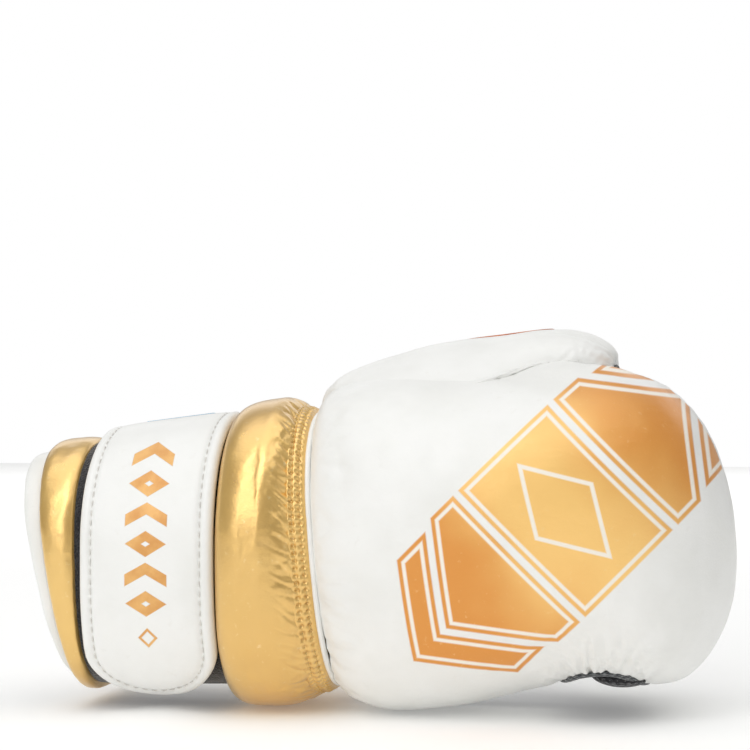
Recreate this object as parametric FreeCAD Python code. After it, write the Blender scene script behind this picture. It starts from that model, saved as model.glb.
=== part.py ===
import FreeCAD, Part

# Open-hand sparring glove for the right hand, lying on its little-finger edge. Millimetres.
# +X runs from the wrist to the fingers, +Z to the thumb side, -Y to the back of the hand.
# Sections are egg-shaped ovals across X. A station is (x, low z, high z, back y, palm y).
# The glove is modelled with x = 0 at the seam between neck and hand. At the end every piece is
# moved so that the origin lies at the bottom centre of the whole glove.

import math
import os

# ---- driving dimensions ----
COVER = 1.2  # outer leather
LINING = 2.0  # mesh lining
BINDING = 2.0  # mesh binding over a cut edge of the padding
CLEAR = 0.4  # air between pieces of different bodies
THUMB_CLEAR = 1.2  # air under the thumb, where the hood slides past
HAND_LENGTH = 141.0  # wrist seam to the front of the fist
NECK_LENGTH = 7.0
WELT_LENGTH = 3.0  # stitched gold edge between the neck and the roll
WELT_HEIGHT = 2.0
ROLL_LENGTH = 30.0
ROLL_BASE = 0.3
ROLL_BULGE = 8.9
STRAP_WIDTH = 50.0
BAND_SHOWS = 3.0  # pile band that shows beside the strap
BAND_THICKNESS = 1.6
HOOK_GAP = 0.3  # air between the pile band and the closed flap's hooks
HOOK_THICKNESS = 1.0
HOOK_INSET = 4.0  # from the strap's long edges
HOOK_TOP_Z = 66.0
STRAP_THICKNESS = 3.4
STRAP_BASE_Z = 34.0  # where the strap is sewn to the palm side
STRAP_END_Z = 3.0  # lowest point of the flap's outline
STRAP_END_HEIGHT = 19.0  # of the half oval at the flap's end
END_ROLL_LENGTH = 11.0
END_ROLL_BULGE = 3.5
MOUTH_LENGTH = 6.0  # how far the white mouth roll stands out
MOUTH_LEAN = 0.22  # the mouth leans back by this share of the height, so the cuff is longer on top
CUFF_WALL = 9.0  # padding from the lining to the surface under the pile band
LABEL_INSET = 12.0  # from the strap's long edges
LABEL_WIDTH = 16.0
LABEL_THICKNESS = 0.7
BADGE_RING = 2.0  # width of the badge's border
BADGE_THICKNESS = 0.8
BADGE_RING_THICKNESS = 1.3
PALM_THICKNESS = 2.2
PALM_TOP = 86.0  # the panel stops here, and the thumb goes through above it
PALM_TUCK = 8.0  # how far the panel runs in under the back's edge
HEM_LENGTH = 8.0
HEM_HEIGHT = 1.6

WIDEST = 0.56  # height of the widest point of a section, as a share of its height
POWER_UP = 2.2  # superellipse powers: rounder above the widest point,
POWER_DOWN = 2.7  # flatter below it, where the glove rests
RING_POINTS = 24
BARREL_SHARES = (0.0, 0.03, 0.1, 0.22, 0.38, 0.62, 0.78, 0.9, 0.97, 1.0)
FAR = 300.0  # past every piece

SPLIT_Y = 8.0  # the back pad ends here and the open palm begins
KNUCKLE_X = 85.0  # the hood opens at this line
CUFF_MIDDLE_Y = -3.0  # the strap's flap is behind this plane and its base in front of it
CUFF_MIDDLE_Z = 52.0

# x positions along the cuff, from the neck to the mouth
WELT_FRONT = -NECK_LENGTH
ROLL_FRONT = WELT_FRONT - WELT_LENGTH
ROLL_BACK = ROLL_FRONT - ROLL_LENGTH
STRAP_BACK = ROLL_BACK - STRAP_WIDTH
BAND_BACK = STRAP_BACK - BAND_SHOWS
END_BACK = BAND_BACK - END_ROLL_LENGTH
MOUTH_BACK = END_BACK - MOUTH_LENGTH

# a point on each joint's line
HINGES = {
    "finger_flex": (KNUCKLE_X, -56.4, 60.0),  # along Z, just outside the leather on the back
    "thumb_flex": (0.0, 15.0, 108.0),  # along Y, at the root of the thumb
    "wrist_flex": (-NECK_LENGTH / 2, -2.0, 55.0),  # along Z, through the neck
    "strap_peel": (-65.0, -3.2, 105.9),  # along the top of the cuff
}

# ---- stations ----
HAND = [
    (0.0, 9.6, 107.5, -42.0, 38.0),
    (1.5, 7.2, 113.0, -45.0, 40.0),
    (5.0, 4.0, 117.5, -48.5, 42.5),
    (12.0, 1.2, 120.5, -52.0, 45.5),
    (22.0, 0.0, 122.0, -53.8, 49.0),
    (42.0, 2.2, 122.8, -55.0, 53.0),
    (62.0, 7.0, 123.0, -55.8, 56.0),
    (82.0, 11.0, 123.0, -55.0, 58.0),
    (100.0, 11.0, 122.5, -52.0, 58.0),
    (113.0, 10.5, 118.5, -46.0, 56.5),
    (123.0, 13.0, 111.5, -38.0, 52.5),
    (131.0, 20.0, 101.0, -28.0, 46.0),
    (136.5, 29.0, 88.5, -16.5, 37.0),
    (140.0, 40.0, 74.0, -5.0, 26.5),
    (HAND_LENGTH, 50.0, 62.0, 4.0, 17.0),
]
CAVITY_LENGTH = 116.0
CAVITY = [
    (0.0, 23.0, 94.0, -29.0, 26.0),
    (20.0, 19.0, 101.0, -28.0, 30.0),
    (48.0, 18.0, 105.0, -27.0, 34.0),
    (70.0, 20.0, 105.5, -27.0, 41.0),
    (89.0, 21.5, 103.5, -25.0, 42.0),
    (102.0, 27.0, 96.0, -20.0, 39.0),
    (110.0, 35.0, 86.0, -12.0, 32.0),
    (114.5, 46.0, 74.0, -2.0, 22.0),
    (CAVITY_LENGTH, 55.0, 64.0, 6.0, 14.0),
]
THUMB_LENGTH = 98.0
THUMB = [
    (0.0, 98.0, 117.5, -2.0, 30.0),
    (5.0, 96.0, 123.0, -9.0, 37.0),
    (14.0, 95.0, 128.5, -12.0, 41.0),
    (32.0, 95.0, 134.0, -13.5, 45.0),
    (56.0, 97.0, 136.8, -13.0, 46.0),
    (74.0, 104.0, 139.0, -12.0, 45.0),
    (86.0, 110.0, 138.0, -9.0, 42.0),
    (93.5, 114.5, 134.5, -3.5, 37.0),
    (97.0, 118.5, 131.0, 3.5, 29.5),
    (THUMB_LENGTH, 122.0, 127.5, 10.5, 22.0),
]
THUMB_SPACE_LENGTH = 88.0
THUMB_SPACE = [
    (-4.0, 60.0, 108.0, 6.0, 24.0),
    (16.0, 60.0, 113.0, 4.0, 28.0),
    (36.0, 60.0, 118.0, 3.0, 31.0),
    (60.0, 60.0, 122.0, 3.0, 32.0),
    (78.0, 60.0, 123.5, 5.0, 30.0),
    (85.0, 60.0, 122.0, 9.0, 26.0),
    (THUMB_SPACE_LENGTH, 60.0, 119.0, 13.0, 22.0),
]
PALM_PANEL = [
    (0.3, 12.5, 104.5, -40.0, 35.0),
    (3.0, 17.0, 98.0, -30.0, 30.5),
    (9.0, 21.5, 92.0, -15.0, 25.5),
    (20.0, 21.6, 92.0, -10.0, 26.0),
    (48.0, 20.6, 94.0, -10.0, 28.0),
    (75.0, 22.6, 93.0, -10.0, 26.0),
    (88.0, 25.0, 90.0, -10.0, 23.0),
]
GUSSET = [
    (90.0, 14.0, 17.0, -14.0, 2.0),
    (93.0, 10.5, 20.0, -21.0, 9.0),
    (100.0, 8.6, 22.0, -24.0, 13.0),
    (107.0, 10.5, 20.0, -21.0, 9.0),
    (110.0, 14.0, 17.0, -14.0, 2.0),
]
# the hood's edge over the palm, from the little-finger side to the thumb side: (x, z)
HOOD_EDGE = [(92, -12), (87, 10), (78, 23), (71, 36), (72, 50), (82, 67), (94, 83), (101, 100), (103, 150)]
NOTCH = (98.0, 6.0, 17.0, 10.0)  # gap in the hood's edge: x, z, half length, half height
NOTCH_BACK_Y = -32.0  # where the gap starts on the back
# the thumb stall's edge over the palm: first end, middle and last end of an arc, (x, z)
THUMB_EDGE = [(-6.0, 95.0), (50.0, 107.0), (106.0, 124.0)]
BADGE = (57.0, 22.0, 18.0, 11.5)  # badge on the thumb: x, y, half length, half width
FINGER_LOOP = (88.0, 110.0, -7.0, -5.4)  # the elastic's first and last x, and its back and front y

NECK_OVAL = (9.6, 107.5, -42.0, 38.0)
MOUTH_OVAL = (8.0, 93.5, -39.0, 31.0)

# ---- shapes ----


def ring(x, low, high, back, palm, grow=0.0, lean=0.0):
    """A closed egg-shaped wire across X, grow outside the oval it is given."""
    middle_y = (back + palm) / 2
    half_y = (palm - back) / 2 + grow
    widest_z = low + (high - low) * WIDEST
    points = []
    for i in range(RING_POINTS):
        angle = 2 * math.pi * i / RING_POINTS
        c, s = math.cos(angle), math.sin(angle)
        power = POWER_UP if s >= 0 else POWER_DOWN
        reach = (high - widest_z if s >= 0 else widest_z - low) + grow
        y = middle_y + half_y * math.copysign(abs(c) ** (2 / power), c)
        z = widest_z + reach * math.copysign(abs(s) ** (2 / power), s)
        points.append(FreeCAD.Vector(x - lean * (z - CUFF_MIDDLE_Z), y, z))
    curve = Part.BSplineCurve()
    curve.interpolate(Points=points, PeriodicFlag=True)
    return Part.Wire([curve.toShape()])


def skin(rings):
    return Part.makeLoft(rings, True, False)


def loft(stations, grow=0.0, length=None):
    """A solid through the stations, grown all round. With a length, its closed front grows too."""
    stretch = 1 + grow / length if length else 1
    return skin([ring(s[0] * stretch, *s[1:], grow=grow) for s in stations])


def box(x0, x1, y0, y1, z0, z1):
    return Part.makeBox(x1 - x0, y1 - y0, z1 - z0, FreeCAD.Vector(x0, y0, z0))


def polygon(corners):
    corners = [*corners, corners[0]]
    return [Part.LineSegment(a, b).toShape() for a, b in zip(corners, corners[1:])]


def along_y(edges, depth=FAR):
    """The solid that closed edges in a plane across Y sweep towards the palm."""
    return Part.Face(Part.Wire(edges)).extrude(FreeCAD.Vector(0, depth, 0))


def ellipse_along_y(x, z, half_x, half_z, y):
    shape = Part.Ellipse(FreeCAD.Vector(0, 0, 0), max(half_x, half_z), min(half_x, half_z)).toShape()
    across = FreeCAD.Rotation(FreeCAD.Vector(1, 0, 0), 90)
    shape.Placement = FreeCAD.Placement(FreeCAD.Vector(x, y, z), across)
    return along_y([shape])


# ---- the cuff's shapes ----


def cuff_oval(x):
    """The cuff's plain oval at x: straight lines from the neck's to the mouth's."""
    share = x / MOUTH_BACK
    return [neck + (mouth - neck) * share for neck, mouth in zip(NECK_OVAL, MOUTH_OVAL)]


def cuff_lean(x):
    """How much the cuff's edge at x leans back: nothing up to the strap, then more to the mouth."""
    return MOUTH_LEAN * max(0.0, (STRAP_BACK - x) / (STRAP_BACK - MOUTH_BACK))


def cuff_core(grow):
    """A solid through the whole cuff, grow outside its plain oval, longer than the cuff."""
    ends = (20.0, MOUTH_BACK - 40.0)
    return skin([ring(x, *cuff_oval(x), grow=grow) for x in ends])


def cuff_slice(front, back):
    """Everything between two leaning planes across the cuff."""
    low, high = -60.0, 200.0
    corners = []
    for x, z in ((front, low), (front, high), (back, high), (back, low)):
        leaned = x - cuff_lean(x) * (z - CUFF_MIDDLE_Z)
        corners.append(FreeCAD.Vector(leaned, -FAR / 2, z))
    return along_y(polygon(corners))


def cuff_tube(front, back, outer, inner):
    return cuff_core(outer).cut(cuff_core(inner)).common(cuff_slice(front, back))


def cuff_barrel(front, back, base, bulge, inset=0.0):
    """A solid along the cuff whose side bulges like a barrel. Inset shrinks it on every side."""
    first, last = front - inset, back + inset
    rings = []
    for share in BARREL_SHARES:
        x = first + (last - first) * share
        rise = (1 - abs(2 * share - 1) ** 3) ** (1 / 3)
        grow = base - inset + bulge * rise
        rings.append(ring(x, *cuff_oval(x), grow=grow, lean=cuff_lean(x)))
    return skin(rings)


# ---- openings in the padding ----


def palm_opening(margin=0.0):
    """What opens the palm: all that is behind the hood's edge and in front of SPLIT_Y, and the
    notch at the little-finger side. A margin above 0 makes it larger."""
    edge = [FreeCAD.Vector(x + margin, SPLIT_Y - margin, z) for x, z in HOOD_EDGE]
    curve = Part.BSplineCurve()
    curve.interpolate(Points=edge)
    rear = -20.0
    corners = [edge[-1], FreeCAD.Vector(rear, edge[0].y, edge[-1].z)]
    corners += [FreeCAD.Vector(rear, edge[0].y, edge[0].z), edge[0]]
    lines = [Part.LineSegment(a, b).toShape() for a, b in zip(corners, corners[1:])]
    x, z, half_x, half_z = NOTCH
    gap = ellipse_along_y(x, z, half_x + margin, half_z + margin, NOTCH_BACK_Y - margin)
    return along_y([curve.toShape(), *lines]).fuse(gap)


def thumb_opening(margin=0.0):
    """What opens the thumb stall towards the palm: all below an arc."""
    first, middle, last = [FreeCAD.Vector(x, SPLIT_Y - margin, z + margin) for x, z in THUMB_EDGE]
    low = 40.0
    corners = [last, FreeCAD.Vector(last.x, last.y, low), FreeCAD.Vector(first.x, first.y, low), first]
    lines = [Part.LineSegment(a, b).toShape() for a, b in zip(corners, corners[1:])]
    return along_y([Part.Arc(first, middle, last).toShape(), *lines])


# ---- pieces ----


def hand_layers():
    """Cover, foam and lining of the whole hand, before the palm is opened."""
    outside = loft(HAND)
    under_cover = loft(HAND, -COVER, HAND_LENGTH)
    over_lining = loft(CAVITY, LINING, CAVITY_LENGTH)
    inside = loft(CAVITY)
    layers = {
        "cover": outside.cut(under_cover),
        "foam": under_cover.cut(over_lining),
        "lining": over_lining.cut(inside),
    }
    return layers, outside.cut(inside)


def hand_and_hood():
    layers, whole = hand_layers()
    back_side = box(-1, KNUCKLE_X, -FAR, SPLIT_Y, -FAR, FAR)
    hood_keepout = box(-1, KNUCKLE_X + CLEAR, -FAR, SPLIT_Y, -FAR, FAR)
    bound_edge = palm_opening(BINDING)
    made = {}
    for name, layer in layers.items():
        opened = layer.cut(bound_edge)
        made["back_" + name] = opened.common(back_side)
        made["hood_" + name] = opened.cut(hood_keepout)
    open_hand = whole.cut(palm_opening())
    binding = open_hand.common(bound_edge)
    made["back_binding"] = binding.common(back_side)
    made["hood_binding"] = binding.cut(hood_keepout)
    made["hood_gusset"] = loft(GUSSET).cut(open_hand)
    return made


def palm_pieces():
    first_x, last_x = PALM_PANEL[0][0], PALM_PANEL[-1][0]
    hem_start = first_x + 3.7
    padding = loft(HAND).cut(loft(CAVITY)).cut(palm_opening())
    inside = loft(PALM_PANEL)
    sheet = loft(PALM_PANEL, PALM_THICKNESS)
    panel_reach = box(first_x, last_x, SPLIT_Y - PALM_TUCK, FAR, -FAR, PALM_TOP)
    hem_reach = box(hem_start, hem_start + HEM_LENGTH, SPLIT_Y + 1, FAR, -FAR, PALM_TOP)
    hem = loft(PALM_PANEL, PALM_THICKNESS + HEM_HEIGHT).cut(sheet)
    return {
        "palm_panel": sheet.cut(inside).common(panel_reach).cut(padding),
        "palm_hem": hem.common(hem_reach).cut(padding),
    }


def finger_loop():
    """The elastic that holds the fingers against the back of the hood."""
    band = box(*FINGER_LOOP, -FAR, FAR)
    return band.common(loft(CAVITY))


def thumb_badge():
    x, y, half_x, half_y = BADGE
    below, height = 110.0, 60.0
    centre = FreeCAD.Vector(x, y, below)
    outline = Part.Ellipse(centre, half_x, half_y).toShape()
    field = Part.Ellipse(centre, half_x - BADGE_RING, half_y - BADGE_RING).toShape()
    up = FreeCAD.Vector(0, 0, height)
    disc = Part.Face(Part.Wire([outline])).extrude(up)
    inner = Part.Face(Part.Wire([field])).extrude(up)
    leather = loft(THUMB)
    return {
        "thumb_badge": loft(THUMB, BADGE_THICKNESS).cut(leather).common(inner),
        "thumb_badge_ring": loft(THUMB, BADGE_RING_THICKNESS).cut(leather).common(disc.cut(inner)),
    }


def thumb_pieces():
    kept_hand = loft(HAND, THUMB_CLEAR, HAND_LENGTH).cut(palm_opening(-THUMB_CLEAR))
    outside = loft(THUMB).cut(kept_hand)
    under_cover = loft(THUMB, -COVER, THUMB_LENGTH)
    over_lining = loft(THUMB_SPACE, LINING, THUMB_SPACE_LENGTH)
    inside = loft(THUMB_SPACE)
    bound_edge = thumb_opening(BINDING)
    made = {
        "thumb_cover": outside.cut(under_cover).cut(over_lining).cut(bound_edge),
        "thumb_foam": under_cover.common(outside).cut(over_lining).cut(bound_edge),
        "thumb_lining": outside.common(over_lining).cut(inside).cut(bound_edge),
        "thumb_binding": outside.cut(inside).common(bound_edge).cut(thumb_opening()),
    }
    made.update(thumb_badge())
    return made


def cuff_pieces():
    wall = -CUFF_WALL
    hole = cuff_core(wall)
    roll = cuff_barrel(ROLL_FRONT, ROLL_BACK, ROLL_BASE, ROLL_BULGE)
    roll_foam = cuff_barrel(ROLL_FRONT, ROLL_BACK, ROLL_BASE, ROLL_BULGE, COVER)
    end = cuff_barrel(BAND_BACK, END_BACK, 0.0, END_ROLL_BULGE)
    end_foam = cuff_barrel(BAND_BACK, END_BACK, 0.0, END_ROLL_BULGE, COVER)
    mouth = cuff_barrel(END_BACK, MOUTH_BACK, -4.5, 2.5)
    return {
        "roll_welt": cuff_tube(WELT_FRONT, ROLL_FRONT, WELT_HEIGHT, wall),
        "roll_cover": roll.cut(roll_foam).cut(hole),
        "roll_foam": roll_foam.cut(hole),
        "cuff_shell": cuff_tube(ROLL_BACK, BAND_BACK, 0.0, -COVER),
        "cuff_foam": cuff_tube(ROLL_BACK, BAND_BACK, -COVER, wall),
        "pile_band": cuff_tube(ROLL_BACK, BAND_BACK, BAND_THICKNESS, 0.0),
        "end_roll_cover": end.cut(end_foam).cut(hole),
        "end_roll_foam": end_foam.cut(hole),
        "mouth_roll": mouth.cut(hole),
        "cuff_lining": cuff_tube(WELT_FRONT, MOUTH_BACK + 2, wall, wall - LINING),
        "neck_sleeve": cuff_tube(-0.1, WELT_FRONT + 0.1, 0.0, -COVER),
    }


def strap_pieces():
    """The strap goes round the cuff. Its base is sewn on the palm side, and its flap closes over
    the back and ends in a half oval near the floor."""
    hook_bottom = BAND_THICKNESS + HOOK_GAP
    flap_bottom = hook_bottom + HOOK_THICKNESS
    outer = flap_bottom + STRAP_THICKNESS
    flap_tube = cuff_tube(ROLL_BACK - CLEAR, STRAP_BACK, outer, flap_bottom)
    middle_x = (ROLL_BACK - CLEAR + STRAP_BACK) / 2
    half_width = (ROLL_BACK - CLEAR - STRAP_BACK) / 2
    straight_z = STRAP_END_Z + STRAP_END_HEIGHT
    flap_y = CUFF_MIDDLE_Y - CLEAR
    base_reach = box(-FAR, FAR, CUFF_MIDDLE_Y, FAR, STRAP_BASE_Z, FAR)
    flap_reach = box(-FAR, FAR, -FAR, flap_y, straight_z, FAR)
    tip = ellipse_along_y(middle_x, straight_z, half_width, STRAP_END_HEIGHT, -FAR)
    tip = tip.common(box(-FAR, FAR, -FAR, flap_y, -FAR, straight_z))
    hooks = cuff_tube(ROLL_BACK - HOOK_INSET, STRAP_BACK + HOOK_INSET, flap_bottom, hook_bottom)
    hook_reach = box(-FAR, FAR, -FAR, flap_y, straight_z - 6, HOOK_TOP_Z)
    label = cuff_tube(ROLL_BACK - LABEL_INSET, STRAP_BACK + LABEL_INSET, outer + LABEL_THICKNESS, outer)
    label_y = CUFF_MIDDLE_Y + 2
    label_reach = box(-FAR, FAR, label_y, label_y + LABEL_WIDTH, CUFF_MIDDLE_Z, FAR)
    return {
        "strap_base": cuff_tube(ROLL_BACK, STRAP_BACK, outer, BAND_THICKNESS).common(base_reach),
        "strap_flap": flap_tube.common(flap_reach.fuse(tip)),
        "hook_patch": hooks.common(hook_reach),
        "strap_label": label.common(label_reach),
    }


def all_pieces():
    pieces = hand_and_hood()
    pieces.update(palm_pieces())
    pieces["finger_loop"] = finger_loop()
    pieces.update(thumb_pieces())
    pieces.update(cuff_pieces())
    pieces.update(strap_pieces())
    return pieces


def frame_shift(pieces):
    """From the modelling frame to the part's frame, whose origin is the box's bottom centre."""
    bound = Part.makeCompound(list(pieces.values())).optimalBoundingBox()
    return FreeCAD.Vector(-bound.Center.x, -bound.Center.y, -bound.ZMin)


def main():
    os.makedirs("parts", exist_ok=True)
    pieces = all_pieces()
    shift = frame_shift(pieces)
    print("shift", shift)
    for name, shape in pieces.items():
        shape.translate(shift)
        shape.exportStep(f"parts/{name}.step")
        print(name, len(shape.Solids), shape.isValid(), round(shape.Volume / 1000, 2), "cm3")
    for joint, point in HINGES.items():
        print(joint, FreeCAD.Vector(*point) + shift)


if __name__ == "__main__":
    main()
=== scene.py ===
import math
from contextlib import contextmanager
from functools import partialmethod

import bmesh
import bpy
import numpy as np
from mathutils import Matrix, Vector, noise


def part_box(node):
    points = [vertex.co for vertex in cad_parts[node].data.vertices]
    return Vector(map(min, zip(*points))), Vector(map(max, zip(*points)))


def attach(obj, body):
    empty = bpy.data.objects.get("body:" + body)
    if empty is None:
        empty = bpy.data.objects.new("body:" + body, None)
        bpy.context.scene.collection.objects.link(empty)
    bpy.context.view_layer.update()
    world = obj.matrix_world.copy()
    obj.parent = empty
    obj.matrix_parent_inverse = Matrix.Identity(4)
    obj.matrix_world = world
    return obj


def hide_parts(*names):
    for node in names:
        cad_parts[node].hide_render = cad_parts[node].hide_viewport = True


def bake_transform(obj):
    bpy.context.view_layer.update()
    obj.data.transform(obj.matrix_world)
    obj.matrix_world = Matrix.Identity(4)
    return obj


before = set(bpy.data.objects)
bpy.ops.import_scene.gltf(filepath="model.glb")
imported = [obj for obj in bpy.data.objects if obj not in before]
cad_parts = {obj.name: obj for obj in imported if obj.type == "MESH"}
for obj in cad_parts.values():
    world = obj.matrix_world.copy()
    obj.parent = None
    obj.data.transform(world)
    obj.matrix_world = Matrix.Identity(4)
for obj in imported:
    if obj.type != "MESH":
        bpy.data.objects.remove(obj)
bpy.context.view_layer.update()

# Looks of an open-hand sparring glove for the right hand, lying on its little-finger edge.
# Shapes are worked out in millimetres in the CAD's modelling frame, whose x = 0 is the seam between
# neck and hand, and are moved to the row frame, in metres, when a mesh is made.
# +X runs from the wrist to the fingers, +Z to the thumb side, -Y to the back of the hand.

MM = 0.001

# ---- the CAD's driving dimensions and stations, repeated here in millimetres ----
SPLIT_Y = 8.0
LOOP_BACK_Y = -7.0
# the notch's middle (x, z) and half sizes, a little smaller than in the CAD, where it cuts the foam too
NOTCH = (94.5, 6.0, 13.5, 9.6)
NOTCH_BACK_Y = -32.0
ROLL_FRONT, ROLL_BACK, STRAP_BACK, BAND_BACK, END_BACK, MOUTH_BACK = -10.0, -40.0, -90.0, -93.0, -104.0, -110.0
MOUTH_LEAN = 0.22
CUFF_MIDDLE_Z = 52.0
# sections are egg-shaped: where they are widest, and how round they are above and below that
WIDEST, POWER_UP, POWER_DOWN = 0.56, 2.2, 2.7
# each station is x, and the section's low, high, back and palm sides
HAND = [
    (0.0, 9.6, 107.5, -42.0, 38.0), (1.5, 7.2, 113.0, -45.0, 40.0), (5.0, 4.0, 117.5, -48.5, 42.5),
    (12.0, 1.2, 120.5, -52.0, 45.5), (22.0, 0.0, 122.0, -53.8, 49.0), (42.0, 2.2, 122.8, -55.0, 53.0),
    (62.0, 7.0, 123.0, -55.8, 56.0), (82.0, 11.0, 123.0, -55.0, 58.0),
    (100.0, 11.0, 122.5, -52.0, 58.0), (113.0, 10.5, 118.5, -46.0, 56.5),
    (123.0, 13.0, 111.5, -38.0, 52.5), (131.0, 20.0, 101.0, -28.0, 46.0),
    (136.5, 29.0, 88.5, -16.5, 37.0), (140.0, 40.0, 74.0, -5.0, 26.5), (141.0, 50.0, 62.0, 4.0, 17.0),
]
CAVITY = [
    (0.0, 23.0, 94.0, -29.0, 26.0), (20.0, 19.0, 101.0, -28.0, 30.0), (48.0, 18.0, 105.0, -27.0, 34.0),
    (70.0, 20.0, 105.5, -27.0, 41.0), (89.0, 21.5, 103.5, -25.0, 42.0), (102.0, 27.0, 96.0, -20.0, 39.0),
    (110.0, 35.0, 86.0, -12.0, 32.0), (114.5, 46.0, 74.0, -2.0, 22.0), (116.0, 55.0, 64.0, 6.0, 14.0),
]
THUMB = [
    (0.0, 98.0, 117.5, -2.0, 30.0), (5.0, 96.0, 123.0, -9.0, 37.0), (14.0, 95.0, 128.5, -12.0, 41.0),
    (32.0, 95.0, 134.0, -13.5, 45.0), (56.0, 97.0, 136.8, -13.0, 46.0), (74.0, 104.0, 139.0, -12.0, 45.0),
    (86.0, 110.0, 138.0, -9.0, 42.0), (93.5, 114.5, 134.5, -3.5, 37.0), (97.0, 118.5, 131.0, 3.5, 29.5),
    (98.0, 122.0, 127.5, 10.5, 22.0),
]
THUMB_SPACE = [
    (-4.0, 60.0, 108.0, 6.0, 24.0), (16.0, 60.0, 113.0, 4.0, 28.0), (36.0, 60.0, 118.0, 3.0, 31.0),
    (60.0, 60.0, 122.0, 3.0, 32.0), (78.0, 60.0, 123.5, 5.0, 30.0), (85.0, 60.0, 122.0, 9.0, 26.0),
    (88.0, 60.0, 119.0, 13.0, 22.0),
]
PALM_PANEL = [
    (0.3, 12.5, 104.5, -40.0, 35.0), (3.0, 17.0, 98.0, -30.0, 30.5), (9.0, 21.5, 92.0, -15.0, 25.5),
    (20.0, 21.6, 92.0, -10.0, 26.0), (48.0, 20.6, 94.0, -10.0, 28.0), (75.0, 22.6, 93.0, -10.0, 26.0),
    (88.0, 25.0, 90.0, -10.0, 23.0),
]
PALM_TOP = 86.0
# edges of the openings on the palm side, as (x, z)
HOOD_EDGE = [(92, -12), (87, 10), (78, 23), (71, 36), (72, 50), (82, 67), (94, 83), (101, 100), (103, 150)]
THUMB_EDGE = [(-6.0, 95.0), (50.0, 107.0), (106.0, 124.0)]
BADGE = (57.0, 22.0, 18.0, 11.5)  # the disc's middle (x, y) and half sizes
NECK_OVAL = (9.6, 107.5, -42.0, 38.0)
MOUTH_OVAL = (8.0, 93.5, -39.0, 31.0)
BAND_TOP, FLAP_BOTTOM, STRAP_TOP = 1.6, 2.9, 6.3

# the modelling frame's zero point in the row frame, from nodes that lie exactly on named planes
ZERO = np.array([
    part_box("back_cover")[0].x / MM,
    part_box("finger_loop")[0].y / MM - LOOP_BACK_Y,
    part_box("back_cover")[0].z / MM,
])


def to_row(points):
    """Points in the modelling frame, in millimetres, as row-frame points in metres."""
    return (np.asarray(points, float) + ZERO) * MM


# ---- curves and surfaces ----


def run_along(points):
    """The distance along a path at each of its points."""
    return np.concatenate([[0], np.cumsum(np.linalg.norm(np.diff(points, axis=0), axis=1))])


def read_at(places, run, rows):
    """Each column of rows, read where the run along them equals places."""
    return np.column_stack([np.interp(places, run, column) for column in rows.T])


def through(points, step):
    """A smooth curve through the points, as rows about step apart."""
    pts = np.asarray(points, float)
    pts = np.vstack([2 * pts[0] - pts[1], pts, 2 * pts[-1] - pts[-2]])
    knots = np.concatenate([[0], np.cumsum(np.linalg.norm(np.diff(pts, axis=0), axis=1) ** 0.5)])
    dense = []
    for i in range(1, len(pts) - 2):
        t0, t1, t2, t3 = knots[i - 1:i + 3]
        t = np.linspace(t1, t2, 40, endpoint=False)[:, None]
        a1 = (t1 - t) / (t1 - t0) * pts[i - 1] + (t - t0) / (t1 - t0) * pts[i]
        a2 = (t2 - t) / (t2 - t1) * pts[i] + (t - t1) / (t2 - t1) * pts[i + 1]
        a3 = (t3 - t) / (t3 - t2) * pts[i + 1] + (t - t2) / (t3 - t2) * pts[i + 2]
        b1 = (t2 - t) / (t2 - t0) * a1 + (t - t0) / (t2 - t0) * a2
        b2 = (t3 - t) / (t3 - t1) * a2 + (t - t1) / (t3 - t1) * a3
        dense.append((t2 - t) / (t2 - t1) * b1 + (t - t1) / (t2 - t1) * b2)
    dense = np.vstack(dense + [pts[-2:-1]])
    run = run_along(dense)
    return read_at(np.linspace(0, run[-1], max(2, int(round(run[-1] / step)) + 1)), run, dense)


def value_on(curve, where, at):
    """Reads a curve of two columns where the column numbered where equals at."""
    order = np.argsort(curve[:, where])
    return np.interp(at, curve[order, where], curve[order, 1 - where])


def section(low, high, back, palm, grow, angle):
    """(y, z) on the CAD's egg-shaped section at angles, where angle 90 degrees is the top."""
    c, s = np.cos(angle), np.sin(angle)
    power = np.where(s >= 0, POWER_UP, POWER_DOWN)
    widest = low + (high - low) * WIDEST
    reach = np.where(s >= 0, high - widest, widest - low) + grow
    half = (palm - back) / 2 + grow
    y = (back + palm) / 2 + half * np.sign(c) * np.abs(c) ** (2 / power)
    z = widest + reach * np.sign(s) * np.abs(s) ** (2 / power)
    return y, z


def oval_points(low, high, back, palm, grow, count):
    """Evenly spaced (y, z) points round a section."""
    y, z = section(low, high, back, palm, grow, np.linspace(0, 2 * np.pi, 721))
    run = np.concatenate([[0], np.cumsum(np.hypot(np.diff(y), np.diff(z)))])
    places = np.linspace(0, run[-1], count, endpoint=False)
    return np.interp(places, run, y), np.interp(places, run, z)


def tube_rows(stations, step, columns, grow=0.0, closed_front=False):
    """Rows of points over the surface through the stations. A closed front ends in one point."""
    table = [tuple(s) for s in stations]
    if closed_front:
        x, low, high, back, palm = table[-1]
        middle = low + (high - low) * WIDEST
        table.append((x + 0.25, middle - 0.2, middle + 0.2, (back + palm) / 2 - 0.2, (back + palm) / 2 + 0.2))
    rows = []
    for x, low, high, back, palm in through(table, step):
        y, z = oval_points(low, high, back, palm, grow, columns)
        rows.append(np.column_stack([np.full(columns, x), y, z]))
    return np.array(rows)


def smooth_min(a, b, blend):
    h = np.clip(0.5 + 0.5 * (b - a) / blend, 0, 1)
    return b + (a - b) * h - blend * h * (1 - h)


def smooth_max(a, b, blend):
    return -smooth_min(-a, -b, blend)


HOOD_CURVE = through(HOOD_EDGE, 1.0)
THUMB_CURVE = through(THUMB_EDGE, 1.0)


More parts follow.
